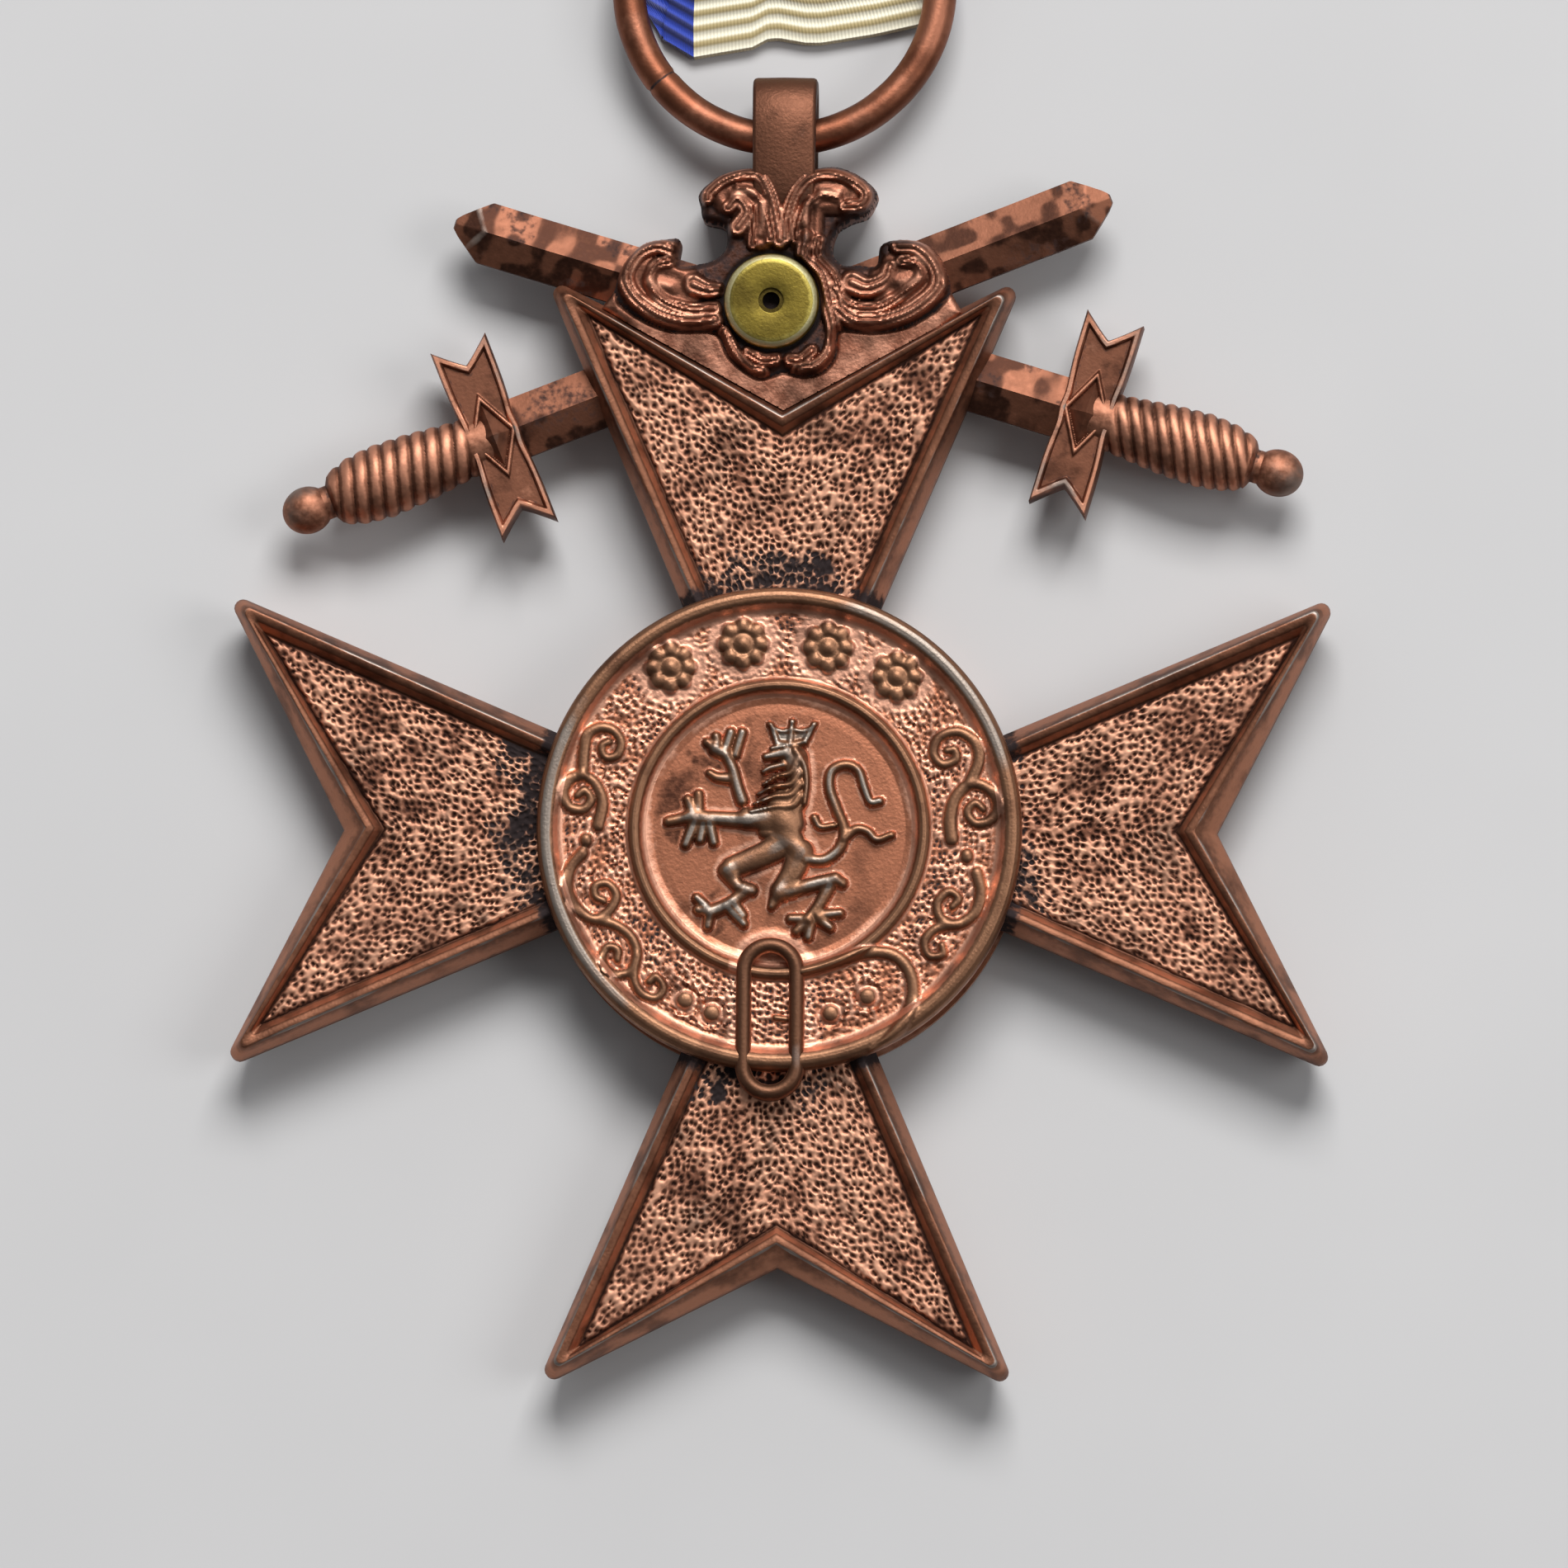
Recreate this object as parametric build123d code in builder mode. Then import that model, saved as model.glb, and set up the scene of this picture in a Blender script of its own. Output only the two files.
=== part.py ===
"""Eight-pointed bronze cross medal with crossed swords, scroll bracket, suspension ring and ribbon.

The medal lies on its back: the face looks along +Z, the ribbon runs towards +Y, and the origin is the
centre of the rear medallion's button, which touches the surface that the medal lies on. Millimetres.
"""

import os
from math import asin, cos, degrees, hypot, radians, sin, tan

from build123d import *

# ---------------------------------------------------------------- driving dimensions

# cross: the widest outline of the arm that points along +Y has two points, the bottom of the V
# between them, and half its width at the root
outline_tip_x = 9.42
outline_tip_y = 21.88
outline_notch_y = 17.1
outline_root_x = 4.0
root_y = 9.1  # where the arm's half width is stated
# how far inside the widest outline the rim's outer edge lies, and how far inside that the sunk field:
# at a point along x and along y, at the bottom of the V, and at the root
ridge_inset = (0.54, 0.56, 0.85, 0.55)
field_inset = (1.13, 0.99, 0.7, 0.6)
rim_flat = 0.5  # share of the way from the ridge to the field that the rim's top takes
point_radius = 0.35  # rounding of the points at the widest line
ridge_point_radius = 0.2
half_thickness = 1.4  # from the parting plane to the ridge
edge_band = 0.3  # height of the upright band beside the parting plane
field_depth = 0.4  # from the ridge down to the field
hub_radius = 8.6  # disc under the medallions that joins the four arms

# medallions
medallion_radius = 9.5
medallion_rise = 0.95  # from the cross's field up to the medallion's rim
medallion_rim = 0.7  # width of the rim
rim_round = 0.3  # rounding of the rim's two edges
medallion_floor = 0.5  # from the rim down to the stippled ring
belt_radius = 5.55  # middle of the belt's inner ridge
belt_width = 0.36
belt_rise = 0.26
button_radius = 1.6  # flat button in the middle of the rear medallion
button_step = 0.06  # how far the rear rim stays above the button's plane

# buckle on the front medallion, one outline that runs past the rim over the lower arm
buckle_width = 2.7
buckle_length = 6.7
buckle_bar = 0.52
buckle_x = -0.3
buckle_inset = 2.05  # from the medallion's edge to the buckle's middle
buckle_rise = 0.06  # above the medallion's rim

# pins through the hub that hold the two medallions
pin_radius = 0.5
pin_offset = 3.5
pin_bite = 0.25  # how deep each pin sits in a medallion

# swords, measured along their own axis from the centre of the pommel
sword_angle = 19.1  # each blade's rise, before the pair is turned
sword_turn = 2.4  # the crossed pair sits a little anticlockwise
sword_cross_x = 0.1  # where the blades cross
sword_cross_rise = 2.9  # above the bottom of the V
sword_cross_at = 20.15  # distance along the sword from the pommel to the crossing
sword_length = 33.8
pommel_radius = 1.0
neck_radius = 0.62
grip_start = 1.0
grip_belly_at = 3.1
grip_belly_radius = 1.45
grip_end_radius = 1.15
grip_lip = 0.2  # how much thinner the grip starts, beside the pommel's neck
guard_at = 7.85
guard_length = 7.9  # across the blade
guard_width = 2.3  # along the blade
guard_waist = 0.14  # how far the guard's long sides draw in at the middle
guard_tail = 0.95  # depth of the V cut into each end
guard_half_thickness = 0.95
blade_width = 2.42
blade_half_thickness = 0.6
blade_edge = 0.16  # half thickness of the blade's edges
blade_point = 1.05  # length of the blunt point
channel_clearance = 0.05

# scroll bracket, the shaped plate that fills the upper notch and carries the eye
bracket_rise = 1.25  # from the parting plane to the plate's face
bracket_gap = 0.02  # between the plate and the walls that it meets
plate_half_width = 6.4
plate_shoulder = 1.63  # height of the plate above its two corners
side_lobe_x = 5.1
side_lobe_radius = 1.5
side_lobe_gap = 0.096  # between the lobe and the V's wall, beyond the plate's own gap
column_half_width = 2.1
bay_x = 3.2
bay_rise = 0.95  # middle of the bay above the plate's top
bay_radius = 1.1
top_lobe_x = 2.3
top_lobe_drop = 0.55  # middle of the top lobe below the eye
top_lobe_radius = 1.45

# tube rivet and its brass collar
rivet_off_x = -0.55  # from where the blades cross
rivet_off_y = 0.75
rivet_radius = 0.5
rivet_bore = 0.34
rivet_clearance = 0.02
flange_radius = 1.5
flange_thickness = 0.4
collar_radius = 1.86
collar_thickness = 0.75
collar_bevel = 0.3
tube_recess = 0.15  # how far the tube's end stays below the collar's face

# suspension eye, a short band bent round the ring's wire
column_height = 3.5  # from the plate's top up to the eye
eye_width = 2.45
eye_wall_ends = 0.65  # wall above and below the hole
eye_wall_faces = 0.7  # wall in front of and behind the hole
eye_play_ends = 0.8  # room above and below the wire
eye_play_faces = 0.4  # room in front of and behind the wire
eye_round = 0.5
tang_width = 1.3
tang_thickness = 0.8
tang_length = 2.2

# suspension ring
wire_radius = 0.65
ring_mean_radius = 6.12
ring_x = -0.1  # the ring hangs a little to one side in its eye
ring_drop = 0.3  # wire centre below the eye's middle

# ribbon
ribbon_thickness = 0.3
ribbon_width = 30.0
ribbon_gather = 8.4  # width that passes through the ring
ribbon_gap = 0.06  # between the ribbon and the wire that it passes
fold_rise = 3.05  # lowest line of the fold above the wire centre in the eye
fold_round = 0.45  # outer radius of the fold
ribbon_top_y = 75.5
flare_length = 9.0  # over which the gathered ribbon spreads to its full width
bend_gap = 1.2  # free length of cloth about which the ribbon bends
come_down = 2.2  # length over which the upper layer comes down from the wire

# ---------------------------------------------------------------- places that follow

field_z = half_thickness - field_depth
mid_z = field_z + medallion_rise + button_step  # height of the parting plane above the table
seat_z = mid_z + field_z
medallion_top_z = seat_z + medallion_rise
buckle_y = buckle_inset - medallion_radius
parting = Plane.XY.offset(mid_z)
sword_cross_y = outline_notch_y + sword_cross_rise
rivet_x = sword_cross_x + rivet_off_x
rivet_y = sword_cross_y + rivet_off_y
notch_slope = (outline_tip_y - outline_notch_y) / outline_tip_x
notch_apex_y = outline_notch_y + bracket_gap * hypot(1, notch_slope)
plate_side_y = notch_apex_y + plate_half_width * notch_slope
plate_top_y = plate_side_y + plate_shoulder
lobe_clear = (side_lobe_radius + side_lobe_gap) * hypot(1, notch_slope)
side_lobe_y = notch_apex_y + side_lobe_x * notch_slope + lobe_clear
eye_half_height = wire_radius + eye_play_ends + eye_wall_ends
eye_half_thickness = wire_radius + eye_play_faces + eye_wall_faces
eye_bottom_y = plate_top_y + column_height
eye_y = eye_bottom_y + eye_half_height
ring_foot_y = eye_y - ring_drop
fold_y = ring_foot_y + fold_rise
sword_turns = (sword_angle + sword_turn, 180 - sword_angle + sword_turn)
ring_low_z = ribbon_thickness + ribbon_gap + wire_radius  # wire centre where it lies on the ribbon
ring_droop = degrees(asin((mid_z - ring_low_z) / (2 * ring_mean_radius)))


def arm_outline(tip_x, tip_y, notch_y, root_x):
    """Corners of the +Y arm, its sides carried on from the root towards the cross's centre."""
    foot_y = root_y / 2
    foot_x = root_x - (tip_x - root_x) * (root_y - foot_y) / (tip_y - root_y)
    return [(foot_x, foot_y), (tip_x, tip_y), (0, notch_y), (-tip_x, tip_y), (-foot_x, foot_y)]


def between(inner, outer, share):
    """Corners that lie the given share of the way from outer to inner."""
    return [
        (q[0] + share * (p[0] - q[0]), q[1] + share * (p[1] - q[1])) for p, q in zip(inner, outer)
    ]


def sword_plane(turn):
    """A sword's own plane: x along the blade from the pommel's centre, z towards the face."""
    along = Vector(cos(radians(turn)), sin(radians(turn)), 0)
    origin = Vector(sword_cross_x, sword_cross_y, mid_z) - along * sword_cross_at
    return Plane(origin=origin, x_dir=along, z_dir=(0, 0, 1))


def blade_strip(sword, margin):
    """Outline of a sword's blade, from the guard to the point, with a margin on each side."""
    half = blade_width / 2 + margin
    corners = [(guard_at, -half), (sword_length, -half), (sword_length, half), (guard_at, half)]
    places = [sword.from_local_coords(Vector(*corner, 0)) for corner in corners]
    Polygon(*[(place.X, place.Y) for place in places], align=None)


def export(part, name):
    part.label = name
    export_step(part, f"parts/{name}.step")


os.makedirs("parts", exist_ok=True)
left_plane, right_plane = (sword_plane(turn) for turn in sword_turns)

# ---------------------------------------------------------------- cross, two struck halves

outline_sizes = (outline_tip_x, outline_tip_y, outline_notch_y, outline_root_x)
ridge_sizes = [size - inset for size, inset in zip(outline_sizes, ridge_inset)]
field_sizes = [size - inset for size, inset in zip(ridge_sizes, field_inset)]
outline_line = arm_outline(*outline_sizes)
ridge_line = arm_outline(*ridge_sizes)
field_line = arm_outline(*field_sizes)
mouth_line = between(field_line, ridge_line, rim_flat)


def rounded_arm(corners, radius):
    """The arm's outline with its two points rounded, in the sketch being made."""
    with BuildSketch(mode=Mode.PRIVATE) as arm_sketch:
        Polygon(*corners, align=None)
        fillet(arm_sketch.vertices().sort_by(Axis.Y)[-2:], radius)
    add(arm_sketch.sketch)


with BuildPart() as arm:
    with BuildSketch(parting):
        rounded_arm(outline_line, point_radius)
    extrude(amount=edge_band)
    with BuildSketch(parting.offset(edge_band)):
        rounded_arm(outline_line, point_radius)
    with BuildSketch(parting.offset(half_thickness)):
        rounded_arm(ridge_line, ridge_point_radius)
    loft(ruled=True)
    with BuildSketch(parting.offset(field_z)):
        Polygon(*field_line, align=None)
    with BuildSketch(parting.offset(half_thickness)):
        Polygon(*mouth_line, align=None)
    loft(ruled=True, mode=Mode.SUBTRACT)

with BuildPart() as cross_front:
    with BuildSketch(parting):
        Circle(hub_radius)
    extrude(amount=field_z)
    for turn in (0, 90, 180, 270):
        add(arm.part.rotate(Axis.Z, turn))
    with BuildSketch(Plane.XY.offset(seat_z)):  # seat of the medallion
        Circle(medallion_radius)
    extrude(amount=half_thickness, mode=Mode.SUBTRACT)
    with BuildSketch(parting):  # channels for the two blades
        blade_strip(left_plane, channel_clearance)
        blade_strip(right_plane, channel_clearance)
    extrude(amount=blade_half_thickness + channel_clearance, mode=Mode.SUBTRACT)
    with BuildSketch(parting):
        with Locations((pin_offset, 0), (-pin_offset, 0)):
            Circle(pin_radius)
    extrude(amount=half_thickness, mode=Mode.SUBTRACT)

export(cross_front.part, "cross_front_half")
export(mirror(cross_front.part, about=parting), "cross_rear_half")

# ---------------------------------------------------------------- medallions and their pins


def medallion_plate():
    """Plate with a rounded rim, a sunk ring and centre, and the ridge between them, face up."""
    floor_z = medallion_top_z - medallion_floor
    with BuildPart() as plate:
        with BuildSketch(Plane.XY.offset(seat_z)):
            Circle(medallion_radius)
        extrude(amount=medallion_rise)
        with BuildSketch(Plane.XY.offset(medallion_top_z)):
            Circle(medallion_radius - medallion_rim)
        extrude(amount=-medallion_floor, mode=Mode.SUBTRACT)
        fillet(plate.edges().group_by(Axis.Z)[-1].filter_by(GeomType.CIRCLE), rim_round)
        with BuildSketch(Plane.XY.offset(floor_z)):
            Circle(belt_radius + belt_width / 2)
            Circle(belt_radius - belt_width / 2, mode=Mode.SUBTRACT)
        extrude(amount=belt_rise)
        with BuildSketch(Plane.XY.offset(seat_z)):
            with Locations((pin_offset, 0), (-pin_offset, 0)):
                Circle(pin_radius)
        extrude(amount=pin_bite, mode=Mode.SUBTRACT)
    return plate.part


with BuildPart() as front_medallion:
    add(medallion_plate())
    with BuildSketch(Plane.XY.offset(seat_z)):
        with Locations((buckle_x, buckle_y)):
            hole_length, hole_width = buckle_length - 2 * buckle_bar, buckle_width - 2 * buckle_bar
            SlotOverall(buckle_length, buckle_width, rotation=90)
            SlotOverall(hole_length, hole_width, rotation=90, mode=Mode.SUBTRACT)
    extrude(amount=medallion_rise + buckle_rise)

with BuildPart() as rear_medallion:
    add(medallion_plate())
    with BuildSketch(Plane.XY.offset(medallion_top_z - medallion_floor)):
        Circle(button_radius)
    extrude(amount=medallion_floor + button_step)

with BuildPart() as pins:
    with BuildSketch(Plane.XY.offset(seat_z + pin_bite)):
        with Locations((pin_offset, 0), (-pin_offset, 0)):
            Circle(pin_radius)
    extrude(amount=-2 * (field_z + pin_bite))

export(front_medallion.part, "front_medallion")
export(mirror(rear_medallion.part, about=parting), "rear_medallion")
export(pins.part, "medallion_pins")

# ---------------------------------------------------------------- swords


def rivet_hole():
    """Hole for the rivet through the piece being made."""
    with Locations((rivet_x, rivet_y, mid_z)):
        Cylinder(rivet_radius + rivet_clearance, 4 * half_thickness, mode=Mode.SUBTRACT)


def make_sword(sword, other, lap_side):
    """One sword, with the half of its blade that the other one fills cut away on lap_side."""
    half_guard, half_width = guard_length / 2, guard_width / 2
    near, far = guard_at - half_width, guard_at + half_width
    fork = half_guard - guard_tail
    half_blade = blade_width / 2
    blade_start = sword.from_local_coords(Vector(guard_at, 0, 0))
    with BuildPart() as solid:
        with BuildSketch(sword):  # pommel, neck and grip, turned about the sword's axis
            with BuildLine():
                ThreePointArc(
                    (-pommel_radius, 0),
                    (-pommel_radius * cos(radians(45)), pommel_radius * sin(radians(45))),
                    (0, pommel_radius),
                )
                ThreePointArc(
                    (0, pommel_radius),
                    (pommel_radius * cos(radians(45)), pommel_radius * sin(radians(45))),
                    (pommel_radius * cos(radians(38)), neck_radius),
                )
                Polyline(
                    (pommel_radius * cos(radians(38)), neck_radius),
                    (grip_start, neck_radius),
                    (grip_start, grip_end_radius - grip_lip),
                )
                Spline(
                    (grip_start, grip_end_radius - grip_lip),
                    (grip_belly_at, grip_belly_radius),
                    (guard_at, grip_end_radius),
                )
                Polyline((guard_at, grip_end_radius), (guard_at, 0), (-pommel_radius, 0))
            make_face()
        revolve(axis=Axis(sword.origin, sword.x_dir))
        with BuildSketch(sword.offset(-guard_half_thickness)):
            with BuildLine():
                ThreePointArc((near, -half_guard), (near + guard_waist, 0), (near, half_guard))
                Polyline((near, half_guard), (guard_at, fork), (far, half_guard))
                ThreePointArc((far, half_guard), (far - guard_waist, 0), (far, -half_guard))
                Polyline((far, -half_guard), (guard_at, -fork), (near, -half_guard))
            make_face()
        extrude(amount=2 * guard_half_thickness)
        with BuildSketch(Plane(origin=blade_start, x_dir=sword.y_dir, z_dir=sword.x_dir)):
            Polygon(
                (-half_blade, -blade_edge),
                (0, -blade_half_thickness),
                (half_blade, -blade_edge),
                (half_blade, blade_edge),
                (0, blade_half_thickness),
                (-half_blade, blade_edge),
                align=None,
            )
        extrude(amount=sword_length - guard_at)
        with BuildSketch(sword.offset(-blade_half_thickness)):  # the corners beside the point
            for side in (-1, 1):
                Polygon(
                    (sword_length, 0),
                    (sword_length, side * half_blade * 1.1),
                    (sword_length - blade_point * 1.1, side * half_blade * 1.1),
                    align=None,
                )
        extrude(amount=2 * blade_half_thickness, mode=Mode.SUBTRACT)
        with BuildSketch(parting):
            blade_strip(other, channel_clearance)
        extrude(amount=lap_side * 2 * blade_half_thickness, mode=Mode.SUBTRACT)
        rivet_hole()
    return solid.part


export(make_sword(left_plane, right_plane, 1), "left_sword")
export(make_sword(right_plane, left_plane, -1), "right_sword")

# ---------------------------------------------------------------- scroll bracket

with BuildPart() as front_bracket:
    with BuildSketch(parting):
        Polygon(
            (0, notch_apex_y),
            (plate_half_width, plate_side_y),
            (side_lobe_x, plate_top_y),
            (-side_lobe_x, plate_top_y),
            (-plate_half_width, plate_side_y),
            align=None,
        )
        for side in (-1, 1):
            with Locations((side * side_lobe_x, side_lobe_y)):
                Circle(side_lobe_radius)
            with Locations((side * bay_x, plate_top_y + bay_rise)):
                Circle(bay_radius, mode=Mode.SUBTRACT)
        column_run = column_height + plate_shoulder
        with Locations((0, eye_bottom_y - column_run / 2)):
            Rectangle(2 * column_half_width, column_run)
        for side in (-1, 1):
            with Locations((side * top_lobe_x, eye_bottom_y - top_lobe_drop)):
                Circle(top_lobe_radius)
        with Locations((0, eye_y)):  # seat of the eye
            Rectangle(eye_width + 2 * bracket_gap, 2 * eye_half_height, mode=Mode.SUBTRACT)
    extrude(amount=bracket_rise)
    with BuildSketch(parting):
        blade_strip(left_plane, channel_clearance)
        blade_strip(right_plane, channel_clearance)
    extrude(amount=blade_half_thickness + channel_clearance, mode=Mode.SUBTRACT)
    with BuildSketch(parting):
        with Locations((0, eye_bottom_y - tang_length / 2)):
            Rectangle(tang_width, tang_length)
    extrude(amount=tang_thickness / 2, mode=Mode.SUBTRACT)
    rivet_hole()

export(front_bracket.part, "front_scroll_bracket")
export(mirror(front_bracket.part, about=parting), "rear_scroll_bracket")

# ---------------------------------------------------------------- rivet and collar

bracket_face_z = mid_z + bracket_rise
bracket_back_z = mid_z - bracket_rise
tube_top_z = bracket_face_z + collar_thickness - tube_recess

with BuildPart() as rivet:
    with BuildSketch(Plane.XY.offset(bracket_back_z - flange_thickness)):
        with Locations((rivet_x, rivet_y)):
            Circle(flange_radius)
    extrude(amount=flange_thickness)
    fillet(rivet.edges().sort_by(Axis.Z)[0], flange_thickness / 2)
    with BuildSketch(Plane.XY.offset(bracket_back_z)):
        with Locations((rivet_x, rivet_y)):
            Circle(rivet_radius)
    extrude(amount=tube_top_z - bracket_back_z)
    with BuildSketch(Plane.XY.offset(bracket_back_z - flange_thickness)):
        with Locations((rivet_x, rivet_y)):
            Circle(rivet_bore)
    extrude(amount=tube_top_z, mode=Mode.SUBTRACT)

with BuildPart() as collar:
    with BuildSketch(Plane.XY.offset(bracket_face_z)):
        with Locations((rivet_x, rivet_y)):
            Circle(collar_radius)
            Circle(rivet_radius + rivet_clearance, mode=Mode.SUBTRACT)
    extrude(amount=collar_thickness)
    outer_edge = collar.edges().group_by(Axis.Z)[-1].sort_by(SortBy.RADIUS)[-1]
    chamfer(outer_edge, collar_bevel)

export(rivet.part, "tube_rivet")
export(collar.part, "rivet_collar")

# ---------------------------------------------------------------- suspension eye

across_eye = Plane(origin=(-eye_width / 2, eye_y, mid_z), x_dir=(0, 1, 0), z_dir=(1, 0, 0))
with BuildPart() as eye:
    with BuildSketch(across_eye):
        RectangleRounded(2 * eye_half_height, 2 * eye_half_thickness, eye_round)
        hole_height = 2 * (eye_half_height - eye_wall_ends)
        hole_thickness = 2 * (eye_half_thickness - eye_wall_faces)
        RectangleRounded(hole_height, hole_thickness, eye_round, mode=Mode.SUBTRACT)
    extrude(amount=eye_width)
    with BuildSketch(Plane.XY.offset(mid_z - tang_thickness / 2)):
        with Locations((0, eye_bottom_y - tang_length / 2 + eye_wall_ends / 4)):
            Rectangle(tang_width, tang_length + eye_wall_ends / 2)
    extrude(amount=tang_thickness)

export(eye.part, "suspension_eye")

# ---------------------------------------------------------------- suspension ring

ring_along = Vector(0, cos(radians(ring_droop)), -sin(radians(ring_droop)))
ring_foot = Vector(ring_x, ring_foot_y, mid_z)
ring_centre = ring_foot + ring_along * ring_mean_radius
ring_plane = Plane(origin=ring_centre, x_dir=(1, 0, 0), z_dir=Vector(1, 0, 0).cross(ring_along))

with BuildPart() as ring:
    with BuildSketch(Plane(origin=ring_centre, x_dir=ring_along, z_dir=(1, 0, 0))):
        with Locations((ring_mean_radius, 0)):
            Circle(wire_radius)
    revolve(axis=Axis(ring_centre, ring_plane.z_dir), revolution_arc=360)

export(ring.part, "suspension_ring")

# ---------------------------------------------------------------- ribbon

wire_top_y = ring_foot_y + 2 * ring_mean_radius * cos(radians(ring_droop)) + wire_radius
half_gather = ribbon_gather / 2
inner_radius = ring_mean_radius - wire_radius
wire_near_y = ring_centre.Y + (inner_radius**2 - half_gather**2) ** 0.5
slope = tan(radians(ring_droop))
clear_z = wire_radius / cos(radians(ring_droop)) + ribbon_gap
over_near_z = mid_z - (wire_near_y - ring_foot_y) * slope + clear_z
over_far_z = mid_z - (wire_top_y - ring_foot_y) * slope + clear_z
down_y = wire_top_y + ribbon_gap + come_down
side_on = Plane(origin=(ring_x - half_gather, 0, 0), x_dir=(0, 1, 0), z_dir=(1, 0, 0))

with BuildPart() as loop:
    with BuildSketch(side_on):
        t = ribbon_thickness
        with BuildLine():
            Polyline(
                (fold_y + fold_round, 0),
                (down_y, 0),
                (down_y, 2 * t),
                (wire_top_y + ribbon_gap, over_far_z + t),
                (wire_near_y, over_near_z + t),
                (fold_y + 2 * fold_round, 2 * fold_round),
            )
            Line((fold_y + 2 * fold_round, 2 * fold_round), (fold_y + fold_round, 2 * fold_round))
            ThreePointArc(
                (fold_y + fold_round, 2 * fold_round), (fold_y, fold_round), (fold_y + fold_round, 0)
            )
        make_face()
        with BuildLine(mode=Mode.ADD):
            Polyline(
                (fold_y + 2 * fold_round, t),
                (wire_top_y + ribbon_gap, t),
                (wire_top_y + ribbon_gap, over_far_z),
                (wire_near_y, over_near_z),
                (fold_y + 2 * fold_round, t + ribbon_gap),
                close=True,
            )
        make_face(mode=Mode.SUBTRACT)
    extrude(amount=ribbon_gather)

tail_y = down_y + bend_gap
with BuildPart() as tail:
    with BuildSketch(Plane.XY):
        Polygon(
            (ring_x - half_gather, tail_y),
            (ring_x + half_gather, tail_y),
            (ring_x + ribbon_width / 2, tail_y + flare_length),
            (ring_x + ribbon_width / 2, ribbon_top_y),
            (ring_x - ribbon_width / 2, ribbon_top_y),
            (ring_x - ribbon_width / 2, tail_y + flare_length),
            align=None,
        )
    extrude(amount=2 * ribbon_thickness)

export(loop.part, "ribbon_loop")
export(tail.part, "ribbon_tails")
print("parting plane", mid_z, "ring droop", ring_droop, "bend axis y", down_y + bend_gap / 2)
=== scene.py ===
"""Bronze cross medal with crossed swords, scroll bracket, copper ring and a folded ribbon.

The pieces are built in millimetres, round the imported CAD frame, and scaled to metres when their meshes
are made. Heights called z are above the medal's middle plane, and the rear pieces are turned over.
"""
import math
import bmesh
import bpy
import numpy as np
from mathutils import Matrix, Vector

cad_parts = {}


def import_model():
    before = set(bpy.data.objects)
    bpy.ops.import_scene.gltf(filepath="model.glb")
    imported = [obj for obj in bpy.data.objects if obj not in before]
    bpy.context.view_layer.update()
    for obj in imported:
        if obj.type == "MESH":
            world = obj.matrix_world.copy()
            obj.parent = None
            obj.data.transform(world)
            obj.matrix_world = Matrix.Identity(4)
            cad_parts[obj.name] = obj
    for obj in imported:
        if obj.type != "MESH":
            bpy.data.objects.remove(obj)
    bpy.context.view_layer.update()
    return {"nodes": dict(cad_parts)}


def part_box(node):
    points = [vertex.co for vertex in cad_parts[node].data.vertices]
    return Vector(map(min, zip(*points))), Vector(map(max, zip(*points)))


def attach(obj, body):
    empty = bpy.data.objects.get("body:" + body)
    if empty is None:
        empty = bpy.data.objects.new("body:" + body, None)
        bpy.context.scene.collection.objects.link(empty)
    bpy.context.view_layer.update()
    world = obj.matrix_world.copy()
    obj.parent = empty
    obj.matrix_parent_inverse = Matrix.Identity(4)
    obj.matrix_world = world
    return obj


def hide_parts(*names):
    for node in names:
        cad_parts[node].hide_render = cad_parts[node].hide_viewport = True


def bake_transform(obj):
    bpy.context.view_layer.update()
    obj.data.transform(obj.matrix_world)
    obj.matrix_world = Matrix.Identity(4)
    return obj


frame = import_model()
MM = 0.001


def cad(node):
    """Lowest and highest corner of a CAD node, in millimetres."""
    low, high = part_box(node)
    return np.array(low) / MM, np.array(high) / MM


# how far the rear button stands out of the rear rim, and how far a medallion's rim stands out of its seat
BUTTON_STEP, MEDALLION_RISE = 0.06, 0.95
MID = cad("cross_front_half")[0][2]  # height of the medal's middle plane
RIDGE = cad("cross_front_half")[1][2] - MID  # height of the cross's rims above it
SEAT = MID - cad("rear_medallion")[0][2] - BUTTON_STEP - MEDALLION_RISE  # where the medallions sit

# ------------------------------------------------------------------ numbers and noise


def smooth(low, high, x):
    """0 below low and 1 above high, with a soft step between them; low may be the greater one."""
    t = np.clip((x - low) / (high - low), 0.0, 1.0)
    return t * t * (3 - 2 * t)


def hash01(ix, iy, seed):
    """Repeatable random numbers from 0 to 1, one for each whole-number cell."""
    n = ix.astype(np.int64) * 374761393 + iy.astype(np.int64) * 668265263 + seed * 1442695
    n = (n ^ (n >> 13)) * 1274126177 & 0x7FFFFFFF
    return ((n ^ (n >> 15)) & 0xFFFFF) / 0xFFFFF


def noise(x, y, size, seed):
    """Smooth noise from 0 to 1 with features of the given size."""
    gx, gy = x / size, y / size
    ix, iy = np.floor(gx), np.floor(gy)
    fx, fy = smooth(0, 1, gx - ix), smooth(0, 1, gy - iy)
    rows = [hash01(ix, iy + k, seed) * (1 - fx) + hash01(ix + 1, iy + k, seed) * fx for k in (0, 1)]
    return rows[0] * (1 - fy) + rows[1] * fy


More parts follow.
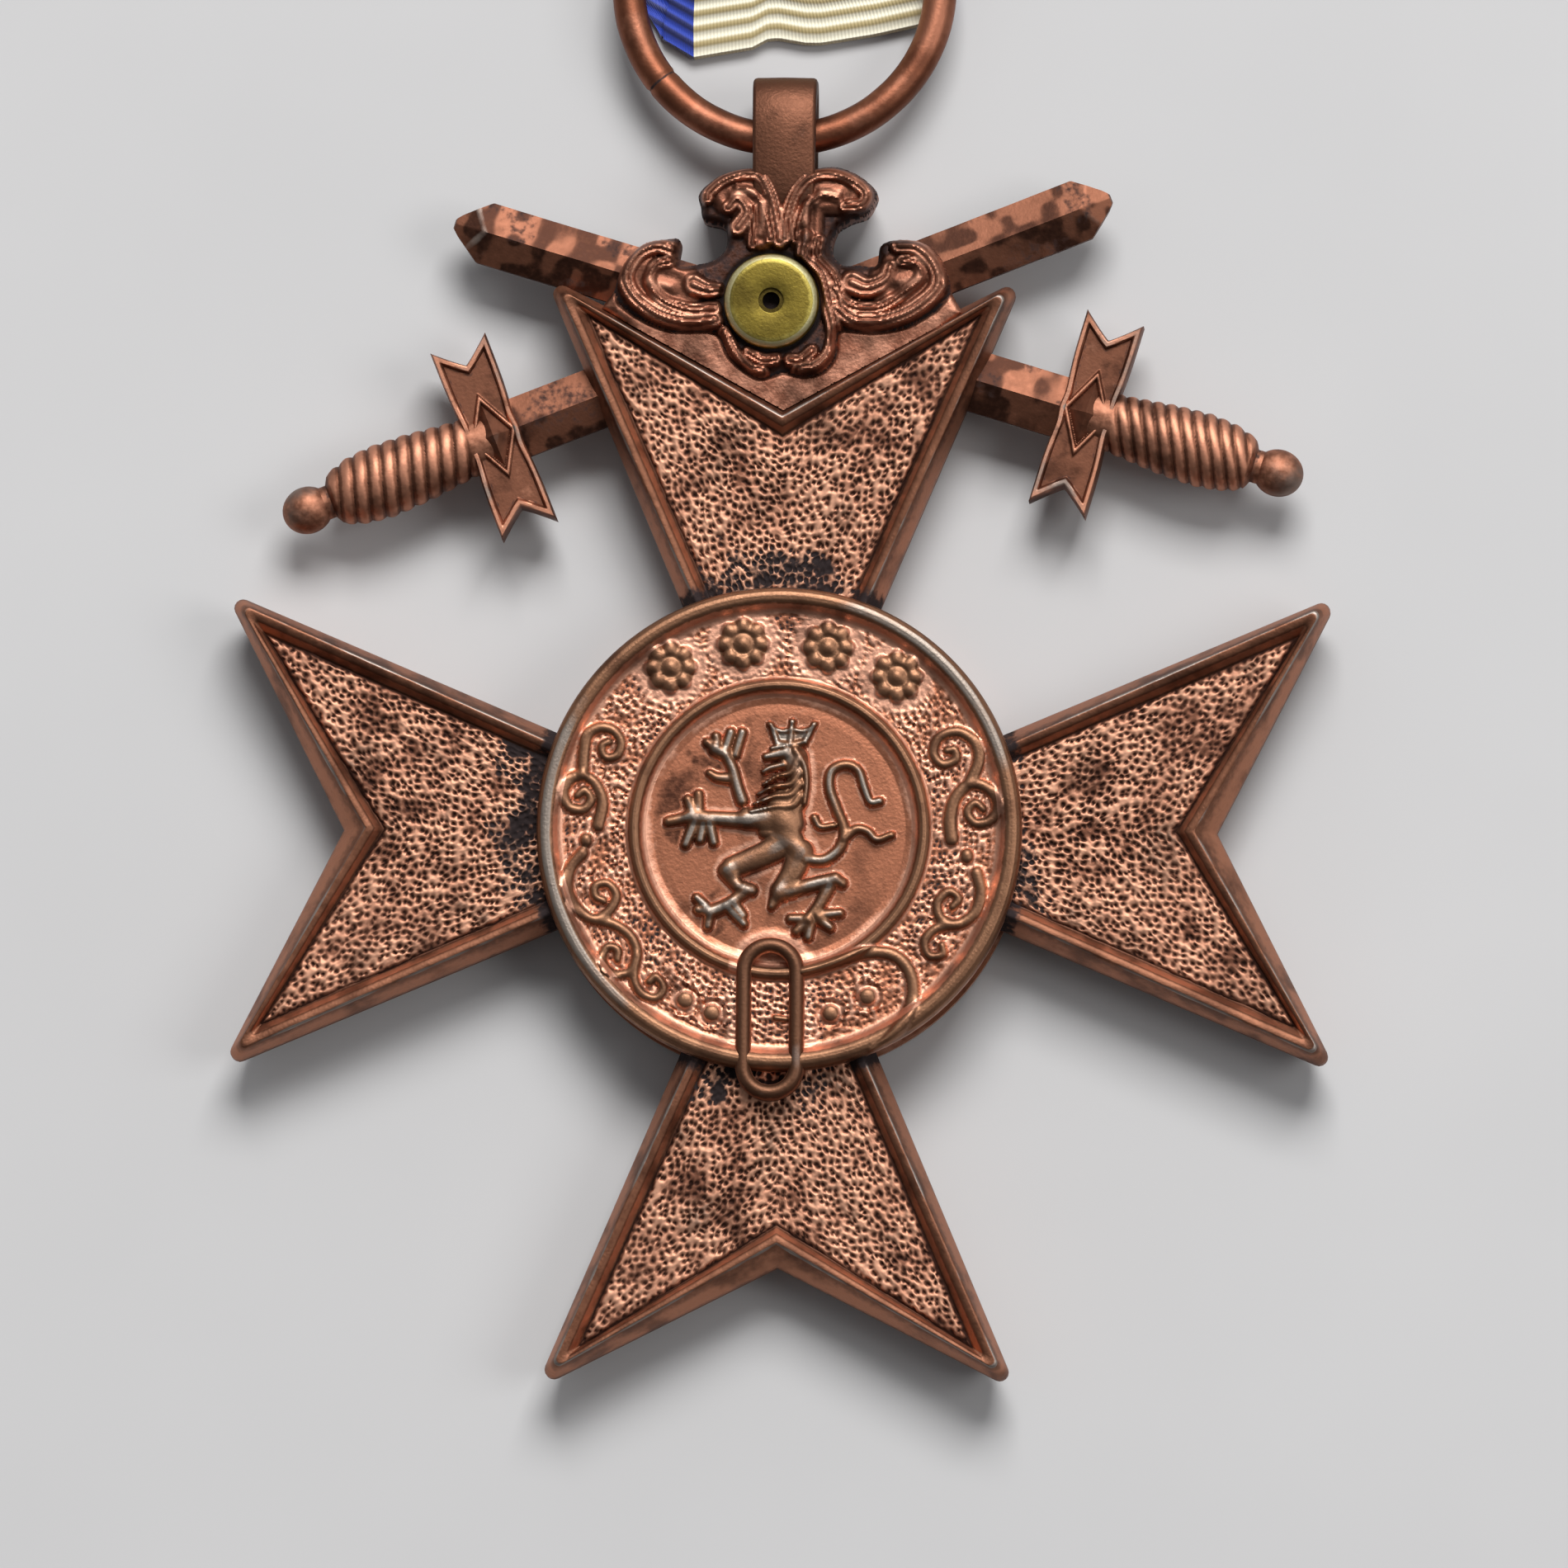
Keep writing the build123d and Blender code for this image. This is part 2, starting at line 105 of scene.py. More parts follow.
def network(x, y, pitch, seed):
    """1 on the crests of an irregular network, 0 in the round pits between them."""
    x, y = (v + 0.5 * pitch * (noise(x, y, 1.3 * pitch, seed + k) - 0.5) for v, k in ((x, 5), (y, 6)))
    gx, gy = x / pitch, y / pitch
    ix, iy = np.floor(gx), np.floor(gy)
    first = np.full(gx.shape, 9.0)
    second = first.copy()
    for dx in (-1, 0, 1):
        for dy in (-1, 0, 1):
            cx, cy = ix + dx, iy + dy
            px = cx + 0.5 + 0.9 * (hash01(cx, cy, seed) - 0.5)
            py = cy + 0.5 + 0.9 * (hash01(cx, cy, seed + 1) - 0.5)
            d = np.hypot(gx - px, gy - py)
            second = np.where(d < first, first, np.minimum(second, d))
            first = np.minimum(first, d)
    return 0.75 * smooth(0.14, 0.46, first) + 0.25 * (1 - smooth(0.03, 0.4, second - first))


def spline(points, steps=10):
    """Points along a smooth curve through the given ones, of any number of columns."""
    p = np.array(points, float)
    p = np.vstack([2 * p[0] - p[1], p, 2 * p[-1] - p[-2]])
    t = np.linspace(0, 1, steps, endpoint=False)[:, None]
    out = []
    for a, b, c, d in zip(p[:-3], p[1:-2], p[2:-1], p[3:]):
        out.append(0.5 * (2 * b + (c - a) * t + (2 * a - 5 * b + 4 * c - d) * t**2
                          + (3 * b - a - 3 * c + d) * t**3))
    return np.vstack(out + [p[-2:-1]])


def nearest(x, y, line):
    """Distance from every point to a line of points (x, y, radius), in radii of the line there."""
    ratio = np.full(x.shape, 99.0)
    for (ax, ay, ar), (bx, by, br) in zip(line[:-1], line[1:]):
        reach = max(ar, br) * 1.6 + 0.1
        inside = (x > min(ax, bx) - reach) & (x < max(ax, bx) + reach)
        inside &= (y > min(ay, by) - reach) & (y < max(ay, by) + reach)
        if not inside.any():
            continue
        px, py = x[inside] - ax, y[inside] - ay
        vx, vy = bx - ax, by - ay
        t = np.clip((px * vx + py * vy) / (vx * vx + vy * vy + 1e-12), 0, 1)
        here = np.hypot(px - t * vx, py - t * vy) / (ar + (br - ar) * t)
        ratio[inside] = np.minimum(ratio[inside], here)
    return ratio


def turned(x, y, angle):
    c, s = math.cos(angle), math.sin(angle)
    return x * c - y * s, x * s + y * c


def off_line(x, y, a, b):
    """Distance from every point to the straight line through a and b."""
    d = (b - a) / np.linalg.norm(b - a)
    return np.abs((x - a[0]) * d[1] - (y - a[1]) * d[0])


def ends(values):
    """True at the first and the last of a row of values."""
    return np.arange(len(values)) % (len(values) - 1) == 0


AROUND = 96  # points round a turned piece


def rings(profile, centre=(0.0, 0.0), count=AROUND):
    """One circle of points for each radius and height of a turned piece's profile."""
    angles = np.linspace(0, 2 * math.pi, count, endpoint=False)
    return [np.stack([centre[0] + r * np.cos(angles), centre[1] + r * np.sin(angles),
                      0 * angles + z], 1) for r, z in profile]


# ------------------------------------------------------------------ meshes


class Shape:
    """Vertices, faces and per-vertex values of one mesh, put together from grids and single faces."""

    def __init__(self):
        self.points, self.faces, self.values, self.slots = [], [], [], []
        self.count, self.slot = 0, 0

    def add(self, points, faces, height=0.5, wear=0.0, dark=0.0):
        """height is 0 in hollows and 1 on high ground, the wear value is rubbed metal and painted highlight,
        dark is black patina and painted shade.
        """
        points = np.asarray(points, float).reshape(-1, 3)
        n = len(points)
        columns = [np.broadcast_to(np.ravel(v).astype(float), n) for v in (height, wear, dark)]
        self.points.append(points)
        self.values.append(np.stack(columns, 1))
        self.faces.extend((np.asarray(f) + self.count).tolist() for f in faces)
        self.slots.extend([self.slot] * len(faces))
        self.count += n

    def grid(self, points, close_u=False, close_v=False, flip=False, **values):
        """points[u][v] becomes a sheet of quads."""
        points = np.asarray(points, float)
        nu, nv = points.shape[:2]
        u = np.arange(nu if close_u else nu - 1)
        v = np.arange(nv if close_v else nv - 1)
        uu, vv = np.meshgrid(u, v, indexing="ij")
        un, vn = (uu + 1) % nu, (vv + 1) % nv
        quads = np.stack([uu * nv + vv, un * nv + vv, un * nv + vn, uu * nv + vn], -1)
        quads = quads.reshape(-1, 4)
        self.add(points, quads[:, ::-1] if flip else quads, **values)

    def slab(self, x, y, z, keep, height, wear, dark):
        """The grid cells whose corners are all kept, with walls down to a flat bottom at z = 0.

        height, wear and dark are each a grid of values for the top and one value for the bottom.
        """
        cells = keep[:-1, :-1] & keep[1:, :-1] & keep[1:, 1:] & keep[:-1, 1:]
        index = np.arange(x.size).reshape(x.shape)
        faces = np.stack([index[:-1, :-1], index[1:, :-1], index[1:, 1:], index[:-1, 1:]], -1)[cells]
        used = np.unique(faces)
        n = len(used)
        place = np.full(x.size, -1)
        place[used] = np.arange(n)
        faces = place[faces]
        edges = np.concatenate([faces[:, [k, (k + 1) % 4]] for k in range(4)])
        keys = np.sort(edges, 1) @ [x.size, 1]
        _, first, count = np.unique(keys, return_index=True, return_counts=True)
        rim = edges[first[count == 1]]
        walls = np.stack([rim[:, 1], rim[:, 0], rim[:, 0] + n, rim[:, 1] + n], 1)
        top = np.stack([x.ravel(), y.ravel(), z.ravel()], 1)[used]
        values = [np.concatenate([v.ravel()[used], np.full(n, low)]) for v, low in (height, wear, dark)]
        self.add(np.vstack([top, top * [1, 1, 0]]), [*faces, *walls, *(faces[:, ::-1] + n)], *values)

    def build(self, name, material, body, *nodes, turn_over=False, crisp=40):
        """Makes the piece that replaces the CAD nodes; crisp is the least angle of a sharp edge."""
        points = np.vstack(self.points)
        if turn_over:
            points = points * [1, 1, -1]
        points = (points + [0, 0, MID]) * MM
        mesh = bpy.data.meshes.new(name)
        faces = [f[::-1] for f in self.faces] if turn_over else self.faces
        mesh.from_pydata(points.tolist(), [], faces)
        mesh.polygons.foreach_set("material_index", self.slots)
        for i, attribute in enumerate(("height", "wear", "dark")):
            data = mesh.attributes.new(attribute, "FLOAT", "POINT")
            data.data.foreach_set("value", np.vstack(self.values)[:, i].astype(np.float32))
        finish_piece(name, mesh, material, body, nodes, crisp)


def finish_piece(name, mesh, material, body, nodes, crisp):
    """Cleans a mesh and makes it a piece that rides on a body and stands for its CAD nodes."""
    bm = bmesh.new()
    bm.from_mesh(mesh)
    bmesh.ops.remove_doubles(bm, verts=bm.verts, dist=1e-5 * MM)
    bmesh.ops.dissolve_degenerate(bm, dist=1e-9, edges=bm.edges)
    bmesh.ops.recalc_face_normals(bm, faces=bm.faces)
    bm.to_mesh(mesh)
    bm.free()
    piece = new_object(name, mesh, crisp, *(material if isinstance(material, tuple) else (material,)))
    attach(piece, body)
    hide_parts(*nodes)


def new_object(name, mesh, crisp, *materials):
    """A shaded object of the mesh, smooth but for its edges sharper than crisp."""
    mesh.shade_smooth()
    if crisp:
        mesh.set_sharp_from_angle(angle=math.radians(crisp))
    for material in materials:
        mesh.materials.append(material)
    made = bpy.data.objects.new(name, mesh)
    bpy.context.collection.objects.link(made)
    return made


# ------------------------------------------------------------------ materials


class Paint:
    """A new material, with short ways to add its nodes."""

    def __init__(self, name):
        self.material = bpy.data.materials.new(name)
        self.material.use_nodes = True
        self.tree = self.material.node_tree
        self.shader = self.tree.nodes["Principled BSDF"]

    def plug(self, socket, value):
        if isinstance(value, bpy.types.NodeSocket):
            self.tree.links.new(value, socket)
        else:
            socket.default_value = (*value, 1) if isinstance(value, tuple) else value

    def new(self, kind, inputs, **settings):
        node = self.tree.nodes.new(kind)
        for key, value in settings.items():
            setattr(node, key, value)
        for key, value in inputs.items():
            self.plug(node.inputs[key], value)
        return node

    def finish(self, **inputs):
        """Sets the shader's inputs, with _ for a space in their names."""
        for key, value in inputs.items():
            self.plug(self.shader.inputs[key.replace("_", " ")], value)
        return self.material

    def value(self, attribute):
        return self.new("ShaderNodeAttribute", {}, attribute_name=attribute).outputs["Fac"]

    def sums(self, operation, a, b=0.0):
        return self.new("ShaderNodeMath", {0: a, 1: b}, operation=operation).outputs[0]

    def wander(self, value, pattern, reach):
        """A value moved up and down by a pattern from 0 to 1, by the reach at most."""
        return self.sums("ADD", value, self.sums("MULTIPLY", self.sums("SUBTRACT", pattern, 0.5), reach))

    def mix(self, share, a, b):
        return self.new("ShaderNodeMix", {0: share, 6: a, 7: b}, data_type="RGBA").outputs[2]

    def ramp(self, value, low, high):
        return self.new("ShaderNodeMapRange", {"Value": value, "From Min": low, "From Max": high},
                        interpolation_type="SMOOTHSTEP").outputs[0]

    def texture(self, size_mm, detail=3.0):
        place = self.new("ShaderNodeTexCoord", {}).outputs["Object"]
        scale = 1 / (size_mm * MM)
        return self.new("ShaderNodeTexNoise", {"Vector": place, "Scale": scale, "Detail": detail}).outputs[0]

    def bump(self, pattern, strength, depth_mm):
        return self.new("ShaderNodeBump", {"Height": pattern, "Strength": strength,
                                           "Distance": depth_mm * MM}).outputs[0]


def srgb(r, g, b):
    """Linear colour from 0..255 values."""
    return tuple((c / 255 / 12.92) if c <= 10 else ((c / 255 + 0.055) / 1.055) ** 2.4
                 for c in (r, g, b))


def bronze(name, low, ground, bright, top, rubbed, rough=(0.3, 0.5), grain=0.02, mottle=0.5):
    """Patinated bronze: colours for hollows, even ground, slopes, high places and rubbed edges. The rubbed
    colour also paints highlights, and the dark value paints black patina and painted shade.
    """
    paint = Paint(name)
    sums, mix, ramp, value, wander = paint.sums, paint.mix, paint.ramp, paint.value, paint.wander
    fine, patch = paint.texture(0.25), paint.texture(1.8, 4.0)
    height = wander(value("height"), fine, 0.3)
    colour = mix(ramp(height, 0.02, 0.35), srgb(*low), srgb(*ground))
    colour = mix(ramp(height, 0.42, 0.66), colour, srgb(*bright))
    colour = mix(ramp(height, 0.74, 0.92), colour, srgb(*top))
    stain = sums("MULTIPLY", ramp(patch, 0.5, 0.7), mottle)
    colour = mix(stain, colour, srgb(*low))
    # the rubbed colour: real wear, and a painted highlight where the wear value stands in for light
    wear_and_highlight_mask = ramp(wander(value("wear"), patch, 0.9), 0.45, 0.85)
    colour = mix(sums("MULTIPLY", wear_and_highlight_mask, ramp(value("wear"), 0.02, 0.2)), colour, srgb(*rubbed))
    # near-black colour: black patina, and painted shade where the dark value stands in for shadow
    patina_and_shade = ramp(wander(value("dark"), fine, 0.8), 0.35, 0.75)
    patina_and_shade = sums("MULTIPLY", patina_and_shade, ramp(value("dark"), 0.02, 0.3))
    roughness = sums("ADD", sums("MULTIPLY", fine, rough[1] - rough[0]), rough[0])
    roughness = sums("ADD", roughness, sums("MULTIPLY", patina_and_shade, 0.3))
    return paint.finish(Base_Color=mix(patina_and_shade, colour, srgb(64, 55, 55)), Metallic=1.0,
                        Roughness=roughness, Normal=paint.bump(paint.texture(0.12, 4.0), 0.35, grain))


FIELD = bronze("field_bronze", (44, 27, 22), (112, 74, 58), (180, 130, 105), (192, 144, 118),
               (160, 148, 138), rough=(0.46, 0.66))
RIM = bronze("rim_bronze", (74, 47, 36), (120, 80, 61), (176, 121, 94), (108, 75, 57),
             (146, 134, 126), rough=(0.42, 0.6), grain=0.035, mottle=0.65)
DISC = bronze("medallion_bronze", (74, 46, 36), (164, 106, 80), (212, 158, 132), (138, 100, 76),
              (142, 130, 120), rough=(0.38, 0.56), grain=0.035)
SCROLL = bronze("scroll_bronze", (60, 38, 30), (130, 84, 66), (184, 130, 106), (138, 98, 80),
                (168, 154, 148), rough=(0.4, 0.58), grain=0.05, mottle=0.75)
SWORD = bronze("sword_bronze", (60, 38, 30), (120, 78, 60), (186, 130, 104), (150, 106, 84),
               (156, 142, 132), rough=(0.44, 0.62), mottle=0.7)
# the eye's rubbed grey is mostly the painted highlight on the band's front face
EYE = bronze("eye_bronze", (56, 36, 28), (98, 64, 49), (140, 96, 76), (112, 80, 64),
             (150, 132, 122), rough=(0.42, 0.58), grain=0.05, mottle=0.8)
WIRE = bronze("wire_copper", (82, 50, 38), (124, 76, 56), (150, 98, 76), (140, 86, 66),
              (172, 130, 104), rough=(0.38, 0.55))
BRASS = bronze("rivet_brass", (74, 62, 28), (118, 102, 44), (164, 148, 76), (128, 114, 54),
               (200, 192, 146), rough=(0.42, 0.62), grain=0.04, mottle=0.75)


# ------------------------------------------------------------------ cross

NAMES = ("upper", "left", "lower", "right")
ARM_FOOT = 7.6  # where the arms start, under the medallions
# where an arm's straight side starts and ends, the y of its notch and the radius of its tip
OUTLINE = ((4.0, 9.1), (9.42, 21.88), 17.1, 0.35)
CREST = ((3.45, 9.1), (8.88, 21.32), 16.25, 0.2)
FIELD_LINE = ((2.85, 9.1), (7.75, 20.33), 15.55, 0.03)
FIELD_Z = RIDGE - 0.4  # height of the stippled fields


def arm_corners(root, tip, notch):
    """The foot, the tip and the notch of an arm's right half."""
    root, tip = np.array(root), np.array(tip)
    return root + (tip - root) * (ARM_FOOT - root[1]) / (tip[1] - root[1]), tip, np.array([0.0, notch])


def arm_line(root, tip, notch, radius):
    """Points of the right half of an arm's outline, from the foot round the tip to the notch."""
    side_steps, arc_steps, notch_steps = 90, 6, 60
    start, tip, apex = arm_corners(root, tip, notch)
    a = (start - tip) / np.linalg.norm(start - tip)
    b = (apex - tip) / np.linalg.norm(apex - tip)
    half = math.acos(np.clip(a @ b, -1, 1)) / 2
    cut = radius / math.tan(half)
    middle = (a + b) / np.linalg.norm(a + b)
    centre = tip + middle * radius / math.sin(half)
    first, last = tip + a * cut, tip + b * cut
    t = np.linspace(0, 1, side_steps)[:, None]
    side = start + (first - start) * t
    angle = [math.atan2(*(p - centre)[::-1]) for p in (first, last)]
    turn = (angle[1] - angle[0] + math.pi) % (2 * math.pi) - math.pi
    arc = [centre + radius * np.array([math.cos(angle[0] + turn * k / arc_steps),
                                       math.sin(angle[0] + turn * k / arc_steps)])
           for k in range(1, arc_steps)]
    t = np.linspace(0, 1, notch_steps)[:, None]
    return np.vstack([side, arc, last + (apex - last) * t])


def arm_station(share):
    """An outline between the widest one (0), the rim's crest (1) and the field (2)."""
    lines = [arm_line(*line) for line in (OUTLINE, CREST, FIELD_LINE)]
    k = min(int(share), 1)
    return lines[k] + (lines[k + 1] - lines[k]) * (share - k)


RIM_HEIGHT = 1.4
# station, height above the middle plane of a rim that is RIM_HEIGHT high, height value, wear value
RIM_PROFILE = [
    (0.0, 0.0, 0.3, 0.0), (0.0, 0.28, 0.55, 0.15), (0.12, 0.46, 0.64, 0.35), (0.5, 0.86, 0.64, 0.2),
    (0.86, 1.22, 0.46, 0.1), (0.97, 1.34, 0.45, 0.7), (1.05, 1.395, 0.45, 0.8),
    (1.16, 1.4, 0.3, 0.2), (1.45, 1.375, 0.3, 0.0), (1.56, 1.33, 0.4, 0.1),
    (1.66, 1.25, 0.7, 0.2), (1.86, 1.06, 0.72, 0.1), (1.95, 0.99, 0.5, 0.0),
    (2.0, 0.955, 0.05, 0.0), (2.1, 0.94, 0.05, 0.0)]


def rim_rows(side, turn, seed):
    """Rows of the rim's points on one side of an arm, with their values."""
    rows, values = [], []
    for share, z, height, wear in RIM_PROFILE:
        line = arm_station(share) * [side, 1]
        x, y = turned(line[:, 0], line[:, 1], turn)
        wave = (noise(x + seed, y, 1.4, 5) - 0.5) * 0.05 + (noise(x, y, 0.35, 6) - 0.5) * 0.025
        lift = wave * (1 if z > 0.3 else 0)
        rows.append(np.stack([x, y, z * RIDGE / RIM_HEIGHT + lift], 1))
        patch = noise(x, y, 2.6, 11 + seed) * 0.6 + noise(x, y, 0.5, 12) * 0.4
        # dark value: patina and painted shade on the rims near the medallion's foot
        values.append((np.full(x.shape, height), wear * (0.35 + 1.1 * patch),
                       0.8 * smooth(10.6, 9.6, np.hypot(x, y)) * (0.7 + 0.5 * patch)))
    return np.array(rows), np.array(values)


def arm_field(side, turn, pitch, seed, index):
    """The stippled field on one side of an arm."""
    foot, tip, apex = arm_corners(*FIELD_LINE[:3])
    nu, nv = (int(np.linalg.norm(tip - end) / pitch) for end in (apex, foot))
    u, v = np.meshgrid(np.linspace(0, 1, nu), np.linspace(0, 1, nv), indexing="ij")
    x = (1 - v) * u * foot[0] + v * u * tip[0]
    y = (1 - v) * ARM_FOOT + v * (apex[1] + u * (tip[1] - apex[1]))
    edge = np.minimum(off_line(x, y, foot, tip), off_line(x, y, apex, tip))
    x, y = turned(side * x, y, turn)
    crest = network(x + 40 + seed, y + 40, 0.28, 21) * (0.55 + 0.9 * noise(x, y, 0.8, 22))
    crest = np.clip(crest + 0.35 * (noise(x, y, 0.16, 23) - 0.5), 0, 1.2)
    fade = smooth(0.0, 0.22, edge)
    z = FIELD_Z - 0.06 + 0.08 * crest * fade + 0.03 * (noise(x, y, 2.0, 24) - 0.5) * fade
    radius = np.hypot(x, y)
    # dark patina and painted shade: a dark band round the medallion's foot, narrower on the lower and right
    # arms
    dark = smooth(11.9, 10.1, radius + 2.4 * (noise(x, y, 1.3, 31) - 0.5) + 0.5 * (index > 1))
    dark = dark * (0.5 + 0.95 * noise(x, y, 0.45, 32)) * (1.15 - 0.6 * crest)
    patina = smooth(0.45, 0.72, 0.65 * noise(x + 9, y, 3.6, 33) + 0.35 * noise(x, y + 5, 0.9, 34))
    height = np.clip(crest * fade * 1.05 - 0.2 * patina - 0.04, 0, 1)
    return np.stack([x, y, z], -1), height, 0.35 * height, dark


def cross_arm(index, front):
    turn, seed = index * math.pi / 2, index * 7 + (0 if front else 3)
    shape = Shape()
    pitch = 0.085 if front else 0.12
    for side in (1, -1):
        points, height, wear, dark = arm_field(side, turn, pitch, seed, index)
        shape.slot = 0
        shape.grid(points, height=height, wear=wear, dark=dark)
        rows, values = rim_rows(side, turn, seed)
        shape.slot = 1
        shape.grid(rows, height=values[:, 0], wear=values[:, 1], dark=values[:, 2])
    half = arm_station(0.0)
    loop = np.vstack([half, (half * [-1, 1])[::-1][1:]])
    x, y = turned(loop[:, 0], loop[:, 1], turn)
    shape.add(np.stack([x, y, 0 * x], 1), [list(range(len(x)))], height=0.3)
    name = f"cross_{'front' if front else 'rear'}_{NAMES[index]}_arm"
    node = "cross_front_half" if front else "cross_rear_half"
    shape.build(name, (FIELD, RIM), "medal", node, turn_over=not front, crisp=None)


def cross():
    for index in range(4):
        for front in (True, False):
            cross_arm(index, front)
    inner, outer, top = 0.5, 8.6, FIELD_Z - 0.12
    hub = Shape()
    # painted shade: the hub is coloured near black where it shows in the gaps under the medallions
    hub.grid(rings([(inner, top), (outer, top), (outer, -top), (inner, -top)]),
             close_v=True, close_u=True, height=0.2, dark=0.8)
    hub.build("cross_hub", RIM, "medal", "cross_front_half", "cross_rear_half")


cross()

# ------------------------------------------------------------------ medallions

def line(radius, *points):
    """A line of points (x, y, radius), with one radius or with radii from a first to a last one."""
    radii = radius if isinstance(radius, tuple) else (radius,) * 2
    t = np.linspace(0, 1, len(points))
    return [(x, y, radii[0] + (radii[1] - radii[0]) * k) for (x, y), k in zip(points, t)]


def strokes_of(height, radius, *lines):
    """Strokes of one height and radius. A stroke is a height and the line that it follows."""
    return [(height, line(radius, *points)) for points in lines]


LION = [
    (0.36, line(0.13, (-0.1, 3.36), (0.4, 3.3), (1.0, 3.42))),
    (0.2, line(0.26, (0.08, 3.64), (0.47, 3.6), (0.92, 3.68))),
    (0.26, line(0.1, (-0.28, 3.98), (0.1, 3.84), (0.47, 3.92), (0.9, 3.86), (1.3, 4.0))),
    (0.3, line((0.13, 0.12), (-0.1, 3.4), (-0.32, 4.05))),
    (0.3, line((0.12, 0.11), (0.42, 3.4), (0.47, 4.1))),
    (0.3, line((0.13, 0.12), (1.0, 3.45), (1.3, 4.05))),
    (0.32, line(0.11, (-0.4, 4.12), (-0.36, 4.12))),
    (0.34, line(0.12, (0.47, 4.22), (0.51, 4.22))),
    (0.32, line(0.11, (1.34, 4.14), (1.38, 4.14))),
    (0.34, line((0.4, 0.38), (0.35, 3.02), (0.55, 2.6))),
    (0.44, line((0.22, 0.15), (0.2, 3.0), (-0.52, 2.84))),
    (0.46, line((0.1, 0.08), (-0.3, 3.16), (0.2, 3.24))),
    (0.36, line((0.14, 0.1), (0.15, 2.52), (-0.36, 2.4), (-0.62, 2.26))),
    (0.38, line((0.36, 0.4), (0.68, 2.8), (0.72, 2.0), (0.6, 1.1))),
    (0.5, line((0.14, 0.1), (0.62, 3.1), (0.98, 2.5), (1.08, 1.8), (1.0, 1.0))),
    (0.5, line((0.15, 0.07), (0.7, 2.66), (0.45, 2.2), (-0.1, 2.05), (-0.62, 1.74))),
    (0.5, line((0.15, 0.07), (0.78, 2.2), (0.45, 1.76), (-0.2, 1.66), (-0.84, 1.36))),
    (0.5, line((0.15, 0.07), (0.82, 1.76), (0.45, 1.34), (-0.2, 1.26), (-0.98, 0.98))),
    (0.48, line((0.15, 0.08), (0.82, 1.3), (0.5, 0.9), (-0.2, 0.86), (-1.1, 0.66))),
    (0.44, line((0.56, 0.48), (0.2, 0.95), (0.39, 0.2))),
    (0.44, line((0.36, 0.42), (-1.24, 0.42), (0.03, 0.45))),
    (0.3, line(0.28, (-0.5, -0.05), (0.6, -0.6))),
    (0.42, line((0.42, 0.32), (0.24, 0.05), (0.81, -0.89))),
    (0.36, line((0.22, 0.18), (-1.46, 1.12), (-1.64, 1.65), (-1.84, 2.39), (-2.09, 2.86))),
    (0.34, line(0.22, (-2.09, 2.93), (-2.55, 3.13))),
    *strokes_of(0.3, (0.18, 0.17), ((-2.49, 3.16), (-2.83, 3.4)), ((-2.45, 3.24), (-2.49, 3.64)),
                ((-2.17, 3.02), (-1.92, 3.8)), ((-1.73, 2.93), (-1.47, 3.8))),
    (0.3, line((0.2, 0.14), (-2.02, 1.99), (-2.45, 2.03), (-2.73, 2.19))),
    (0.38, line((0.28, 0.24), (-1.1, 0.34), (-2.02, 0.38), (-2.95, 0.45))),
    (0.38, line(0.26, (-2.97, 0.45), (-3.51, 0.48))),
    (0.34, line((0.2, 0.18), (-3.44, 0.48), (-4.33, 0.29))),
    *strokes_of(0.34, (0.2, 0.17), ((-3.37, 0.58), (-3.57, 1.15)), ((-3.16, 0.78), (-3.16, 1.36)),
                ((-3.3, 0.29), (-3.65, -0.6)), ((-2.97, 0.18), (-3.09, -0.42)),
                ((-2.73, 0.25), (-2.55, -0.52))),
    (0.4, line((0.42, 0.36), (0.24, -0.56), (-0.68, -1.03), (-1.81, -1.5))),
    (0.38, line((0.3, 0.22), (-2.02, -1.63), (-1.6, -2.23))),
    (0.34, line(0.22, (-1.6, -2.23), (-1.07, -2.39))),
    (0.36, line((0.2, 0.24), (-1.24, -2.43), (-2.02, -2.97), (-2.73, -3.28))),
    *strokes_of(0.32, (0.19, 0.17), ((-2.66, -3.2), (-3.2, -2.7)), ((-2.8, -3.24), (-3.16, -3.17)),
                ((-2.69, -3.37), (-2.77, -3.81)), ((-2.02, -3.04), (-1.36, -3.71)),
                ((-1.81, -2.84), (-1.39, -3.37))),
    (0.44, line((0.42, 0.3), (0.85, -0.89), (0.53, -1.7), (0.03, -2.43))),
    (0.38, line((0.3, 0.14), (0.03, -2.43), (-0.28, -3.04))),
    (0.4, line((0.26, 0.22), (0.03, -2.57), (1.09, -2.23), (2.23, -1.94))),
    (0.36, line(0.2, (2.23, -1.94), (2.47, -2.1))),
    (0.36, line((0.22, 0.18), (2.02, -2.17), (1.59, -2.97), (1.16, -3.51))),
    *strokes_of(0.32, (0.19, 0.17), ((1.16, -3.51), (0.48, -3.51)), ((1.14, -3.6), (0.71, -4.0)),
                ((1.28, -3.64), (1.16, -4.22)), ((1.59, -3.37), (2.41, -3.28)),
                ((1.59, -3.51), (2.02, -3.84))),
    (0.34, line((0.2, 0.15), (1.09, -1.19), (1.8, -1.19), (2.37, -0.73), (2.55, -0.02),
                (2.23, 0.85), (1.96, 1.65), (2.04, 2.3), (2.58, 2.55), (3.08, 2.33),
                (3.32, 1.65), (3.57, 1.09), (3.93, 1.12))),
    (0.32, line((0.17, 0.13), (2.55, -0.33), (3.01, 0.02), (3.46, -0.06), (3.83, -0.38),
                (4.4, -0.2))),
    (0.3, line((0.15, 0.12), (1.38, 0.45), (1.62, 0.1), (2.13, 0.15))),
]

